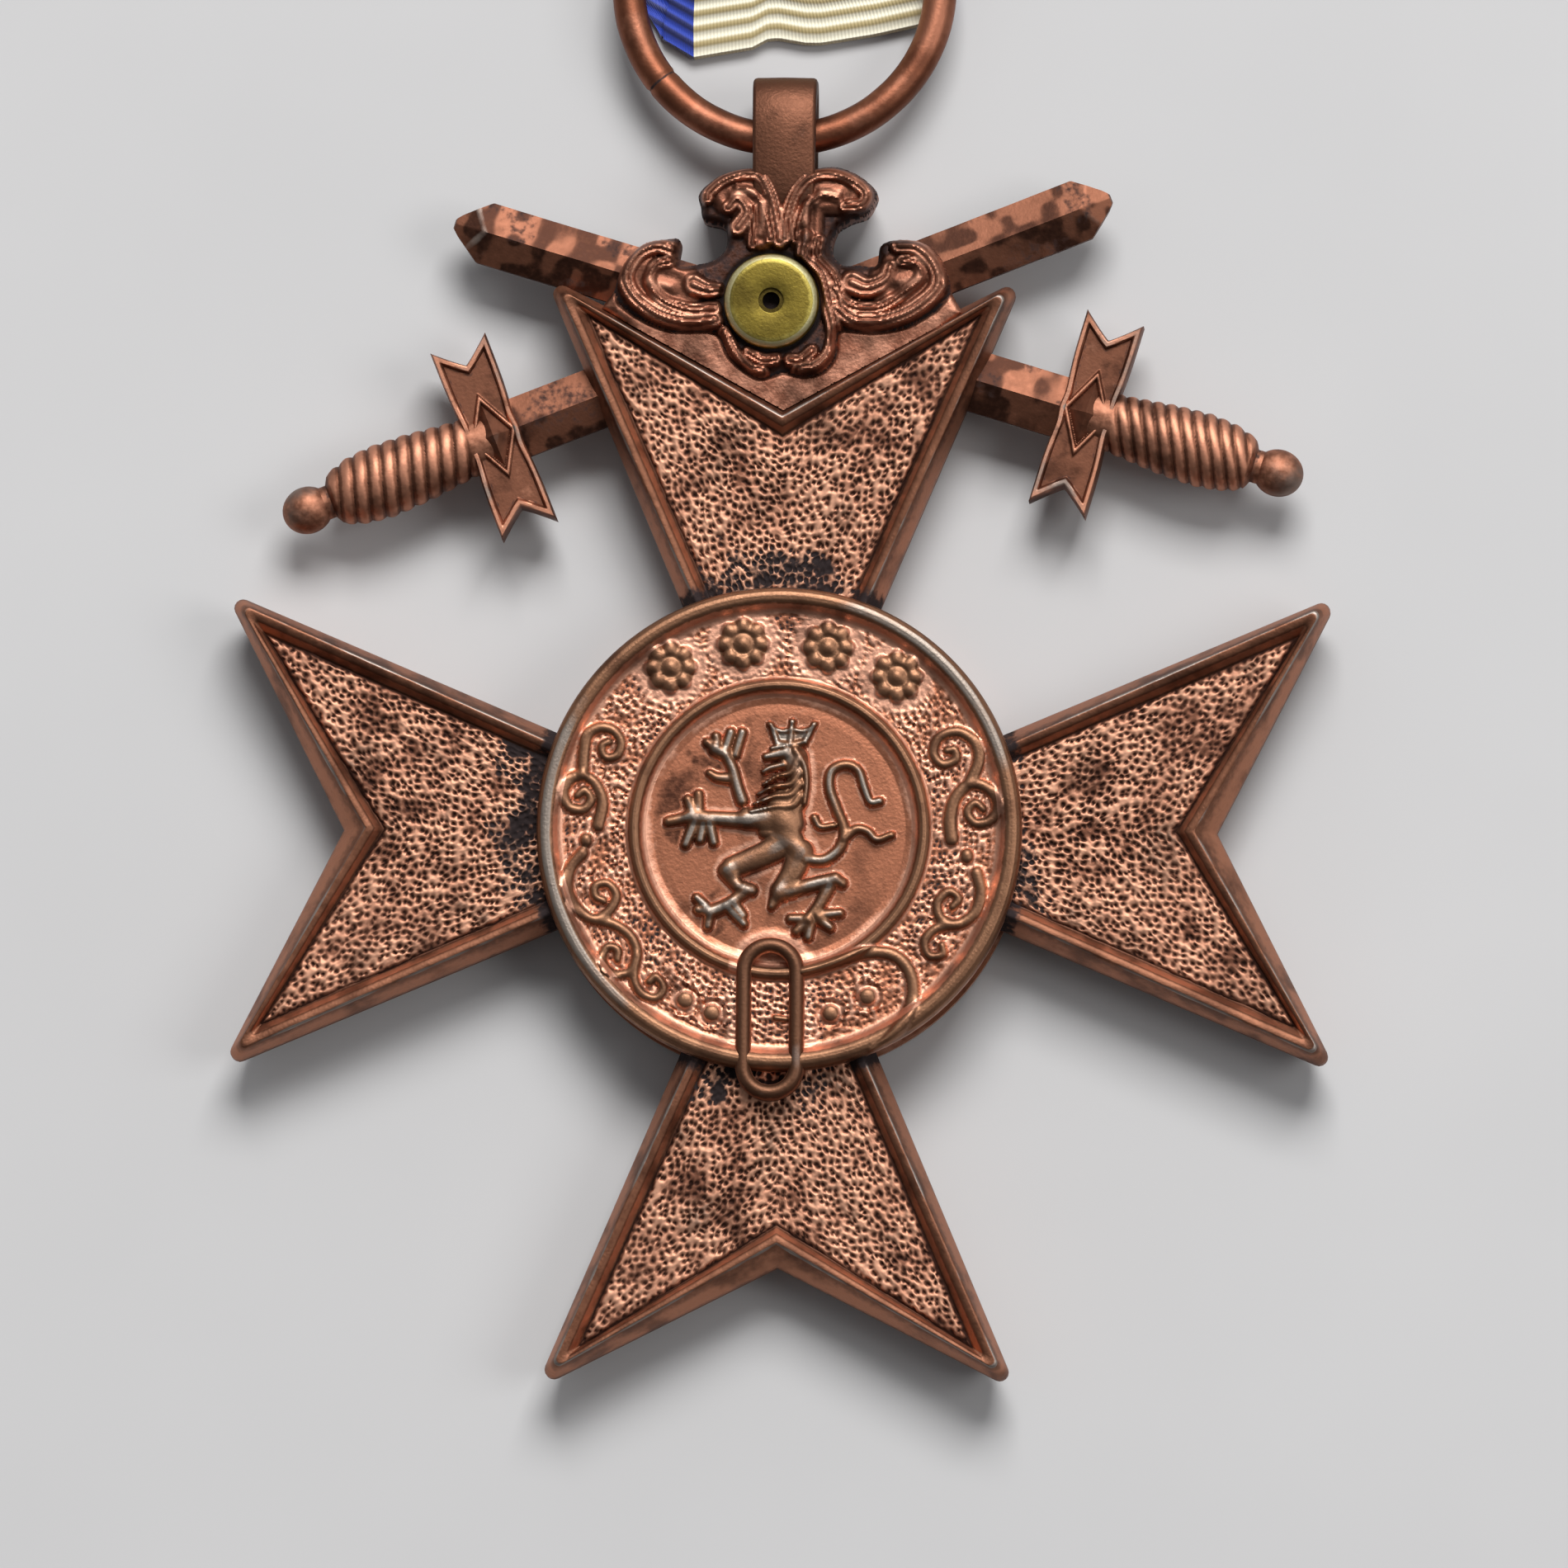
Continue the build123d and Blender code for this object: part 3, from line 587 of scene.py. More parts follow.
VINES = [
    line((0.2, 0.13), (-7.69, 2.12), (-7.66, 3.0), (-7.51, 3.67), (-7.05, 3.96), (-6.52, 3.85),
         (-6.2, 3.4), (-6.35, 2.89), (-6.8, 2.79), (-6.97, 3.2), (-6.7, 3.4)),
    line((0.2, 0.13), (-7.69, 2.12), (-8.19, 1.92), (-8.44, 1.39), (-8.22, 0.85), (-7.69, 0.74),
         (-7.37, 1.12), (-7.62, 1.49), (-7.91, 1.28)),
    line((0.17, 0.2), (-7.69, 2.12), (-7.2, 1.76), (-6.91, 1.05), (-7.08, 0.11)),
    line(0.2, (-7.55, -0.5), (-7.55, -0.42)),
    line((0.2, 0.13), (-7.69, -0.96), (-8.16, -1.56), (-8.26, -2.37), (-7.91, -3.1),
         (-7.27, -3.57), (-6.66, -3.28), (-6.35, -2.63), (-6.7, -2.17), (-7.17, -2.26),
         (-7.17, -2.66), (-6.84, -2.84)),
    line((0.18, 0.13), (-7.27, -3.57), (-6.42, -3.77), (-5.75, -4.27), (-5.52, -4.98),
         (-5.85, -5.65), (-6.52, -5.69), (-6.88, -5.18), (-6.7, -4.67), (-6.28, -4.75),
         (-6.3, -5.15)),
    line((0.17, 0.13), (-5.52, -4.98), (-5.64, -5.85), (-5.35, -6.45), (-4.79, -6.66),
         (-4.48, -6.25), (-4.76, -5.81), (-5.04, -6.01)),
    line((0.2, 0.13), (7.47, 1.86), (7.8, 2.73), (7.61, 3.46), (6.98, 3.84), (6.27, 3.64),
         (6.01, 3.02), (6.38, 2.57), (6.9, 2.75), (6.86, 3.13), (6.55, 3.1)),
    line((0.22, 0.13), (6.76, -0.36), (6.69, 0.45), (6.9, 1.25), (7.47, 1.79), (8.14, 1.65),
         (8.53, 1.05), (8.32, 0.42), (7.71, 0.25), (7.36, 0.69), (7.66, 1.05), (7.97, 0.82)),
    line(0.2, (7.36, -1.08), (7.36, -0.98)),
    line((0.2, 0.13), (7.75, -1.7), (7.91, -2.43), (7.66, -3.28), (7.0, -3.71), (6.38, -3.51),
         (6.22, -2.88), (6.66, -2.43), (7.05, -2.7), (6.81, -3.04)),
    line((0.17, 0.13), (7.0, -3.71), (6.2, -3.87), (5.73, -4.38), (5.91, -4.94),
         (6.44, -4.89), (6.41, -4.54)),
]
STRAP = line((0.24, 0.3), (0.98, -5.6), (2.3, -5.2), (3.43, -4.85), (4.42, -4.89), (5.06, -5.42),
             (5.3, -6.25), (5.1, -7.19), (4.57, -8.13), (3.86, -8.8))
BELT_HOLES = ((-3.63, -6.72), (-2.59, -7.22), (2.06, -7.22), (3.5, -6.55))
ROSETTE_R = 1.08
ROSETTES = ((-4.29, 6.35), (-1.46, 7.28), (1.87, 7.15), (4.57, 6.01))
BUCKLE = (-0.3, -7.45)

CENTRE_R, RIM_FOOT = 5.2, 8.6  # how far the centre's field and the belt reach
# radius, height above the middle plane, height value
MEDALLION_PROFILE = np.array([
    (0, 1.32, 0.40), (4.6, 1.27, 0.40), (4.95, 1.25, 0.45), (5.2, 1.3, 0.62), (5.36, 1.40, 0.66),
    (5.42, 1.5, 0.8), (5.5, 1.64, 0.97), (5.62, 1.71, 1.0), (5.75, 1.7, 1.0),
    (5.87, 1.6, 0.95), (5.95, 1.47, 0.7), (6.02, 1.44, 0.5), (8.42, 1.45, 0.5),
    (8.55, 1.5, 0.66), (8.68, 1.6, 0.7), (8.78, 1.76, 0.68), (8.88, 1.88, 0.9),
    (9.0, 1.94, 1.0), (9.15, 1.95, 1.0), (9.3, 1.91, 1.0), (9.42, 1.8, 0.98),
    (9.49, 1.62, 0.9), (9.5, 1.4, 0.9)])


def relief(x, y, strokes):
    """Height of many strokes together, and how near each point is to the nearest one (1 = its edge)."""
    total, near = np.zeros(x.shape), np.full(x.shape, 9.0)
    for height, points in strokes:
        ratio = nearest(x, y, spline(points, 8 if len(points) > 2 else 1))
        total += (height * np.sqrt(np.clip(1 - ratio**2, 0, 1))) ** 4
        near = np.minimum(near, ratio)
    return total**0.25, near


def fuller(points, factor):
    """The line with its radii multiplied by a factor."""
    return [(x, y, r * factor) for x, y, r in points]


def rosette(x, y, centre, radius, petals=8):
    """A round flower: its height from 0 to 1, and the distance from its centre in its radii."""
    dx, dy = x - centre[0], y - centre[1]
    r, angle = np.hypot(dx, dy) / radius, np.arctan2(dy, dx)
    lobe = np.abs(np.cos(petals / 2 * angle))
    reach = 0.78 + 0.22 * lobe
    petal = np.sqrt(np.clip(1 - (r / reach) ** 4, 0, 1)) * (0.72 + 0.28 * lobe * smooth(0.3, 0.7, r))
    petal *= 1 - 0.35 * smooth(0.12, 0.0, np.abs(r - 0.38))
    button = np.sqrt(np.clip(1 - (r / 0.33) ** 2, 0, 1))
    return np.maximum(petal, 1.1 * button), r


def medallion_relief(x, y, front):
    """Height of the figures over the ground, and how near each point is to them (1 = their edge)."""
    strokes = [(0.25, fuller(v, 1.35)) for v in VINES]
    if front:
        strokes += [(1.3 * h, fuller(s, 1.35)) for h, s in LION] + [(0.26, STRAP)]
        strokes += [(0.2, line(0.13, (-0.1, -7.4), (0.35, -7.45)))]
        strokes += [(0.16, line(0.34, (cx, cy), (cx + 0.01, cy))) for cx, cy in BELT_HOLES]
    else:
        waves = ((-0.5, 0.3), (-0.2, -0.3), (0.1, 0.3), (0.4, -0.3), (0.6, 0.2))
        strokes += [(0.21, line((0.2, 0.14), *[(9.9 * math.sin(t) * 0.73, -9.9 * 0.73 * math.cos(t) + w)
                                               for t, w in waves]))]
    height, near = relief(x, y, strokes)
    height = 0.8 * np.tanh(height / 0.8)
    for centre in ROSETTES:
        flower, q = rosette(x, y, centre, ROSETTE_R)
        height, near = np.maximum(height, 0.26 * flower), np.minimum(near, q)
    if not front:
        flower, q = rosette(x, y, (0, 0), 4.3)
        height = np.maximum(height, 0.45 * flower * (np.hypot(x, y) > 1.7))
        near = np.minimum(near, 0.95 * q)
    return height, near


def belt_hole_grooves(x, y):
    """A groove round each hole of the belt, with a raised ring outside it."""
    grooves = np.zeros(x.shape)
    for cx, cy in BELT_HOLES:
        q = np.hypot(x - cx, y - cy)
        grooves += smooth(0.14, 0.0, np.abs(q - 0.46)) - 0.8 * smooth(0.12, 0.0, np.abs(q - 0.66))
    return grooves


def medallion_wear(x, y, r, degrees, near, front):
    """Rubbed metal on the rims and figures, a painted highlight on the lion's tops, and the solder at the
    top of the front rim.
    """
    rubbed = np.maximum(smooth(5, 20, degrees) * smooth(85, 62, degrees),
                        smooth(135, 160, degrees) * smooth(245, 215, degrees))
    wear = (0.2 + 0.65 * rubbed) * smooth(8.86, 9.0, r) * smooth(9.4, 9.28, r)
    wear += 0.35 * rubbed * smooth(0.35, 0.1, np.abs(r - 5.66))
    wear += 0.3 * smooth(0.5, 0.2, near) * smooth(2, 8, x + y) * (r < RIM_FOOT)
    if not front:
        return wear
    # rubbed metal and a painted highlight on the tops of the lion
    wear += 0.62 * smooth(0.75, 0.2, near) * (r < CENTRE_R) * (0.4 + 1.1 * noise(x, y, 0.7, 47))
    solder = smooth(81, 84, degrees) * smooth(103, 99, degrees)
    return np.maximum(wear, solder * smooth(9.4, 9.46, r))


def medallion(front):
    inner = MEDALLION_PROFILE[:, 0]
    radii = np.unique(np.round(np.concatenate([
        np.arange(0, 5.0, 0.062), inner, np.arange(5.0, 5.95, 0.06), np.arange(5.95, 8.42, 0.062),
        np.linspace(8.42, 9.5, 13)]), 4))
    angles = np.linspace(0, 2 * math.pi, 600, endpoint=False)
    r, angle = np.meshgrid(radii, angles, indexing="ij")
    x, y = r * np.cos(angle), r * np.sin(angle)
    ground, value = (np.interp(r, inner, MEDALLION_PROFILE[:, k]) for k in (1, 2))
    if not front:
        ground = np.where(r < 1.6, 1.95, ground)
    height, near = medallion_relief(x, y, front)
    clear = smooth(6.0, 6.1, r) * smooth(8.5, 8.36, r) * smooth(1.0, 1.5, near)
    crest = network(x + 30, y + 60, 0.235, 41) * (0.6 + 0.8 * noise(x, y, 0.7, 42))
    z = ground + height + clear * (0.085 * crest - 0.05)
    edge = smooth(1.7, 1.1, near) * (r < RIM_FOOT)
    if front:
        off = np.hypot(x - BUCKLE[0], y - np.clip(y, -9.3, -5.6)) - 1.04
        halo = smooth(0.8, 0.42, np.abs(off)) * (r < RIM_FOOT) * (off > 0)
        z = z - 0.06 * belt_hole_grooves(x, y) + 0.05 * halo
        edge = np.maximum(edge, halo)
    value = np.where(clear > 0.01, value + clear * (0.6 * crest - 0.44), value)
    brown = smooth(0.5, 0.75, noise(x, y, 1.3, 43) + 0.25 * (noise(x, y, 0.3, 44) - 0.5))
    side = smooth(0.5, -2.5, x) * smooth(5.4, 4.6, r)
    value = value - 0.28 * brown * (0.35 + 0.65 * side) * (r < CENTRE_R)
    value = value + (0.66 - value) * edge * 0.9
    value = value + (1.0 - value) * smooth(1.0, 0.78, near) * (r < RIM_FOOT)
    wear = medallion_wear(x, y, r, np.degrees(angle) % 360, near, front)
    dark = 0.75 * clear * smooth(0.45, 0.75, noise(x, y, 1.6, 45)) * (1 - crest)
    shape = Shape()
    wall = np.stack([x[-1:], y[-1:], 0 * x[-1:] + SEAT], -1)
    shape.grid(np.concatenate([np.stack([x, y, z], -1), wall]), close_v=True,
               height=np.vstack([value, value[-1:] * 0.6]), wear=np.vstack([wear, wear[-1:]]),
               dark=np.vstack([dark, 0 * dark[-1:]]))
    shape.add(wall[0], [list(range(len(angles)))[::-1]], height=0.3)
    if not front:
        button = ((0, 2.01), (1.15, 2.01), (1.4, 1.98), (1.55, 1.9), (1.6, 1.8), (1.6, 1.5))
        shape.grid(rings(button, count=100), close_v=True, height=0.8, wear=0.6)
    name = "front_medallion" if front else "rear_medallion"
    shape.build(f"{name}_relief", DISC, "medal", name, turn_over=not front, crisp=55)


def buckle():
    """The belt's buckle: a bar bent round into a long ring."""
    across, along, bar = 1.04, 1.85, 0.31
    t = np.linspace(0, math.pi, 30)
    top = np.stack([across * np.cos(t), along + across * np.sin(t)], 1)
    left = top[-1] - (top[0] + top[-1]) * np.linspace(0, 1, 12)[1:-1, None]
    path = np.vstack([top, left, -top, -left])
    ahead = np.roll(path, -1, 0) - np.roll(path, 1, 0)
    normal = np.stack([ahead[:, 1], -ahead[:, 0]], 1) / np.linalg.norm(ahead, axis=1)[:, None]
    profile = [(-1, 1.0, 0.4), (-1, 1.55, 0.66), (-0.97, 1.7, 0.7), (-0.82, 1.85, 0.9),
               (-0.45, 1.97, 1), (0, 2.01, 1), (0.45, 1.97, 1), (0.82, 1.85, 0.9),
               (0.97, 1.7, 0.7), (1, 1.55, 0.66), (1, 1.0, 0.4)]
    rows, values = [], []
    for a, z, v in profile:
        p = path + normal * a * bar
        rows.append(np.column_stack([p + BUCKLE, np.full(len(p), z)]))
        values.append(np.full(len(p), v))
    shape = Shape()
    values = np.array(values)
    shape.grid(rows, close_u=True, close_v=True, height=values,
               wear=0.45 * (values > 0.95) * (0.5 + noise(*np.array(rows)[:, :, :2].T, 0.8, 46).T))
    shape.build("belt_buckle", RIM, "medal", "front_medallion", crisp=50)


medallion(True)
medallion(False)
buckle()

# ------------------------------------------------------------------ swords

SWORD_LENGTH, GUARD_AT, CROSS_AT = 33.8, 7.85, 20.15  # from the pommel's end
CROSSING = np.array([0.1, 20.0])  # where the swords cross on the medal


def sword_place(local, angle):
    """Puts points given along, across and above a sword in its place on the medal."""
    s, t, z = local[..., 0], local[..., 1], local[..., 2]
    x, y = turned(s - CROSS_AT, t, angle)
    return np.stack([x + CROSSING[0], y + CROSSING[1], z], -1)


def sword_handle(shape, angle, lean, pitch):
    """Pommel, neck and fluted grip, turned round the sword's axis."""
    s = np.concatenate([1 - np.cos(np.linspace(0, 2.35, 24)), np.linspace(1.76, 2.05, 5),
                        np.arange(2.09, 8.9, 0.036)])
    width = np.interp(s, [2.0, 2.15, 2.5, 3.1, 4.1, 5.6, 7.4, 8.9],
                      [0.72, 0.98, 1.16, 1.34, 1.45, 1.38, 1.18, 1.1])
    ball = 0.93 * np.sqrt(np.clip(1 - (s - 1) ** 2, 0, 1))
    radius = np.where(s < 1.76, ball, np.where(s < 2.05, 0.66, width))
    around = np.linspace(0, 2 * math.pi, 56, endpoint=False)
    ss, aa = np.meshgrid(s, around, indexing="ij")
    rr = np.repeat(radius[:, None], len(around), 1)
    phase = (ss - lean * rr * np.cos(aa)) / pitch
    flute = np.abs(np.sin(math.pi * phase)) ** 0.7
    fluted = smooth(2.1, 2.25, ss) * smooth(7.9, 7.6, ss)
    rr = rr + fluted * 0.11 * (flute - 0.75)
    local = np.stack([ss - 1, rr * np.cos(aa), 0.84 * rr * np.sin(aa)], -1)
    value = 0.5 + fluted * (0.62 * flute - 0.42)
    wear = 0.5 * smooth(1.9, 1.5, ss) * (np.sin(aa) > 0.2) + 0.25 * fluted * smooth(0.8, 1.0, flute)
    shape.grid(sword_place(local, angle), close_v=True, height=value, wear=wear,
               dark=0.5 * smooth(0.25, 0.05, np.abs(ss - 1.95)))


def sword_guard(shape, angle):
    half_long, half_wide, tail, top = 3.95, 1.15, 0.95, 0.88
    u = np.concatenate([[-1], np.linspace(-1, 1, 61), [1]])
    v = np.concatenate([[-1], np.linspace(-1, 1, 161), [1]])
    uu, vv = np.meshgrid(u, v, indexing="ij")
    wide = half_wide - 0.16 * np.exp(-((vv / 0.35) ** 2)) + 0.1 * np.exp(-((vv / 0.12) ** 2))
    s = uu * wide
    t = vv * (half_long - tail * (1 - np.abs(uu) ** 1.1))
    end = (1 - np.abs(vv)) * (half_long - tail * (1 - np.abs(uu))) * 0.75
    edge = np.minimum((1 - np.abs(uu)) * wide, end)
    border = smooth(0.0, 0.07, edge) * smooth(0.3, 0.2, edge)
    z = top - 0.17 + 0.19 * border - 0.1 * smooth(0.05, 0.0, edge)
    rhomb = np.abs(t) / 1.6 + np.abs(s) / 0.86
    frame_line = smooth(0.16, 0.04, np.abs(rhomb - 0.98))
    z = np.where(rhomb < 1.14, np.maximum(z, top - 0.17 + 0.13 * frame_line), z)
    z = np.where(rhomb < 0.84, top - 0.22 + 0.5 * (0.84 - rhomb) / 0.84, z)
    wall = ends(u)[:, None] | ends(v)
    z = np.where(wall, 0, z)
    value = np.where(wall, 0.2, 0.3 + 0.3 * border + 0.3 * frame_line * (rhomb < 1.14))
    value = value + 0.3 * (noise(s + 5, t + 5, 0.6, 51) - 0.4) * ~wall
    wear = 0.55 * border + 0.4 * frame_line * (rhomb < 1.14) + 0.45 * (rhomb < 0.3)
    dark = 0.45 * smooth(0.12, 0.0, np.abs(edge - 0.34)) * (rhomb > 1.1) + 0.3 * wall
    for sign in (1, -1):
        local = np.stack([s + GUARD_AT, t, sign * z], -1)
        shape.grid(sword_place(local, angle), flip=sign < 0, height=value, wear=wear, dark=dark)


def sword_blade(shape, angle, upper_lap, seed):
    half, ridge, edge_z = 1.21, 0.62, 0.2
    s = np.concatenate([np.arange(8.4, 32.2, 0.14), np.linspace(32.2, SWORD_LENGTH, 26)])
    w = np.concatenate([[-1], np.linspace(-1, 1, 29), [1]])
    ss, ww = np.meshgrid(s, w, indexing="ij")
    wide = np.interp(ss, [0, 32.55, 33.55, SWORD_LENGTH], [half, half, 0.42, 0.16])
    t = ww * wide + 0.015 * (noise(ss, ww, 1.2, seed) - 0.5)
    roof = edge_z + (ridge - edge_z) * (1 - np.abs(t) / half)
    tip = 0.24 + (SWORD_LENGTH - ss) * 0.3 - 0.16 * np.abs(t)
    z = np.minimum(roof, tip) + 0.02 * (noise(ss, t, 0.7, seed + 1) - 0.5)
    wall = ends(w) | (ss > SWORD_LENGTH - 0.001)
    z = np.where(wall, 0, z)
    spots = smooth(0.42, 0.62, noise(ss, t, 0.55, seed + 2) * 0.6 + noise(ss, t, 2.4, seed + 3) * 0.4)
    value = np.where(wall, 0.2, 0.06 + 0.34 * spots)
    wear = 0.5 * smooth(0.12, 0.02, np.abs(roof - tip)) + 0.3 * smooth(33.3, 33.7, ss)
    dark = 0.14 + 0.3 * smooth(0.45, 0.75, noise(ss, t, 1.3, seed + 4)) + 0 * t
    lap = np.abs(ss - CROSS_AT) < 3.4
    for sign in (1, -1):
        level = np.where(lap & ((sign > 0) != upper_lap), 0.0, z)
        local = np.stack([ss, t, sign * level], -1)
        shape.grid(sword_place(local, angle), flip=sign < 0, height=value, wear=wear, dark=dark)


def sword(name, angle, lean, pitch, upper_lap, seed):
    shape = Shape()
    sword_handle(shape, angle, lean, pitch)
    sword_guard(shape, angle)
    sword_blade(shape, angle, upper_lap, seed)
    shape.build(f"{name}_shape", SWORD, "medal", name, crisp=32)


sword("left_sword", math.radians(21.5), 0.28, 0.6, True, 60)
sword("right_sword", math.radians(163.3), -0.45, 0.54, False, 70)

# ------------------------------------------------------------------ scroll bracket

LEFT_EDGE = [(-0.91, 26.1), (-1.64, 26.08), (-2.37, 25.86), (-2.91, 25.5), (-3.35, 25.02),
             (-3.27, 24.5), (-3.12, 23.98), (-2.34, 23.73), (-2.26, 22.95), (-2.69, 22.47),
             (-3.24, 22.29), (-4.11, 22.24), (-4.06, 23.19), (-4.62, 23.25), (-5.45, 23.09),
             (-5.99, 22.65), (-6.4, 22.04), (-6.62, 21.25)]
LEFT_FOOT = [(-6.38, 20.65), (-5.5, 20.06), (-4.31, 19.64), (-2.66, 19.57), (-2.09, 18.63),
             (-1.35, 17.98), (-0.8, 17.78), (-0.07, 18.0)]
RIGHT_EDGE = [(1.2, 26.1), (2.02, 26.16), (2.85, 25.84), (3.6, 25.19), (3.56, 24.76),
              (3.24, 24.24), (2.6, 24.01), (2.06, 23.61), (1.88, 22.83), (2.26, 22.27),
              (2.9, 22.24), (3.63, 22.25), (3.81, 23.03), (4.54, 23.26), (5.45, 23.14),
              (6.1, 22.63), (6.48, 21.76), (6.58, 21.16)]
RIGHT_FOOT = [(5.94, 20.46), (4.85, 19.84), (3.57, 19.61), (2.2, 19.63), (2.03, 18.68),
              (1.58, 18.06), (0.85, 17.88), (0.11, 18.0)]
CROWN = [(-0.91, 26.1), (-0.1, 25.8), (0.5, 25.95), (1.2, 26.1)]
PLATE_FOOT = [(-7.15, 20.5), (0.04, 16.5), (7.05, 20.35)]
SCROLLS = [
    (0.6, line((0.3, 0.2), (-0.13, 23.15), (-0.28, 24.02), (-0.52, 24.97), (-0.99, 25.74),
               (-1.63, 25.78), (-2.36, 25.5), (-2.91, 25.05), (-2.99, 24.77))),
    (0.5, line((0.32, 0.22), (-1.79, 23.65), (-1.43, 24.26), (-1.8, 24.78), (-2.17, 24.43))),
    (0.45, line((0.24, 0.16), (-0.5, 23.24), (-0.7, 24.1), (-0.98, 24.79), (-1.35, 25.13),
                (-1.81, 25.21))),
    (0.35, line(0.2, (-1.2, 23.0), (-1.15, 23.8), (-1.1, 24.5))),
    (0.6, line((0.26, 0.22), (0.05, 23.24), (0.13, 24.11), (0.48, 25.07), (1.12, 25.68),
               (1.94, 25.78), (2.77, 25.45), (3.23, 25.0), (3.05, 24.58), (2.41, 24.49))),
    (0.5, line((0.24, 0.2), (0.77, 23.86), (0.95, 24.47), (1.49, 24.91), (2.13, 24.83))),
    (0.4, line(0.2, (0.5, 23.2), (0.62, 24.0), (1.0, 24.75))),
    (0.6, line((0.26, 0.3), (0.9, 23.3), (0.79, 22.47), (1.44, 21.79), (1.73, 20.75),
               (2.02, 19.54), (1.84, 18.67), (1.3, 18.15), (0.66, 18.01))),
    (0.45, line((0.2, 0.24), (1.4, 23.2), (1.35, 22.5), (2.0, 21.7), (2.3, 20.6))),
    (0.6, line((0.28, 0.3), (-2.66, 20.0), (-3.76, 19.9), (-4.95, 20.24), (-5.88, 21.0),
               (-6.16, 21.78), (-5.72, 22.57), (-4.99, 22.92), (-4.34, 22.76))),
    (0.55, line((0.26, 0.22), (-2.67, 20.44), (-3.77, 20.42), (-4.78, 20.84), (-5.24, 21.53),
                (-4.98, 22.14), (-4.43, 22.32))),
    (0.5, line((0.5, 0.3), (-3.5, 21.4), (-3.0, 21.2), (-2.5, 21.2))),
    (0.6, line((0.28, 0.32), (2.1, 20.5), (2.84, 19.99), (3.93, 20.0), (5.12, 20.45),
               (6.03, 21.32), (5.92, 22.19), (5.27, 22.87), (4.54, 22.95))),
    (0.55, line((0.24, 0.22), (2.0, 21.27), (2.65, 20.59), (3.75, 20.52), (4.65, 21.05),
                (5.38, 21.66), (5.28, 22.18), (4.64, 22.35))),
    (0.45, line((0.42, 0.26), (2.7, 21.5), (3.3, 21.3), (4.0, 21.6), (4.2, 22.1))),
    (0.5, line((0.26, 0.24), (-2.29, 19.49), (-1.91, 18.71), (-1.35, 18.11), (-0.8, 17.95))),
    (0.4, line(0.24, (-1.3, 18.75), (-0.75, 18.45), (-0.3, 18.5))),
    (0.4, line(0.24, (1.15, 18.8), (0.7, 18.45), (0.3, 18.45))),
    (0.3, line(0.95, (-2.0, 25.0), (-1.2, 25.0))),
    (0.3, line(1.0, (1.5, 25.1), (2.2, 25.1))),
    (0.3, line(1.25, (-5.2, 21.5), (-4.4, 21.3))),
    (0.3, line(1.3, (4.6, 21.5), (5.2, 21.7))),
    (0.3, line(0.7, (-0.9, 23.4), (-0.8, 24.6))),
    (0.3, line(0.7, (0.9, 23.2), (0.9, 24.6))),
]
DISC_AT, DISC_R = (-0.45, 20.75), 1.86  # the rivet's brass disc


def inside_distance(x, y, outline):
    """Distance to a closed outline, positive inside, and the nearest place on it."""
    p = np.array(outline)
    q = np.roll(p, -1, 0)
    best, inside = np.full(x.shape, 1e9), np.zeros(x.shape, bool)
    fx, fy = np.zeros(x.shape), np.zeros(x.shape)
    for (ax, ay), (bx, by) in zip(p, q):
        vx, vy = bx - ax, by - ay
        t = np.clip(((x - ax) * vx + (y - ay) * vy) / (vx * vx + vy * vy + 1e-12), 0, 1)
        gx, gy = ax + t * vx, ay + t * vy
        d = np.hypot(x - gx, y - gy)
        closer = d < best
        best, fx, fy = np.where(closer, d, best), np.where(closer, gx, fx), np.where(closer, gy, fy)
        if by != ay:
            inside ^= ((ay > y) != (by > y)) & (x < (bx - ax) * (y - ay) / (by - ay) + ax)
    return np.where(inside, best, -best), fx, fy


def bracket_outlines():
    """Outlines of the whole bracket and of its scrolls, which leave the plate's foot bare."""
    head_left, head_right, left_foot, right_foot, crown = (
        [tuple(p) for p in spline(points, 6)]
        for points in (LEFT_EDGE, RIGHT_EDGE, LEFT_FOOT, RIGHT_FOOT, CROWN))
    crown = crown[::-1][1:-1]
    whole = head_left + PLATE_FOOT + head_right[::-1] + crown
    return whole, head_left + left_foot + right_foot[::-1] + head_right[::-1] + crown


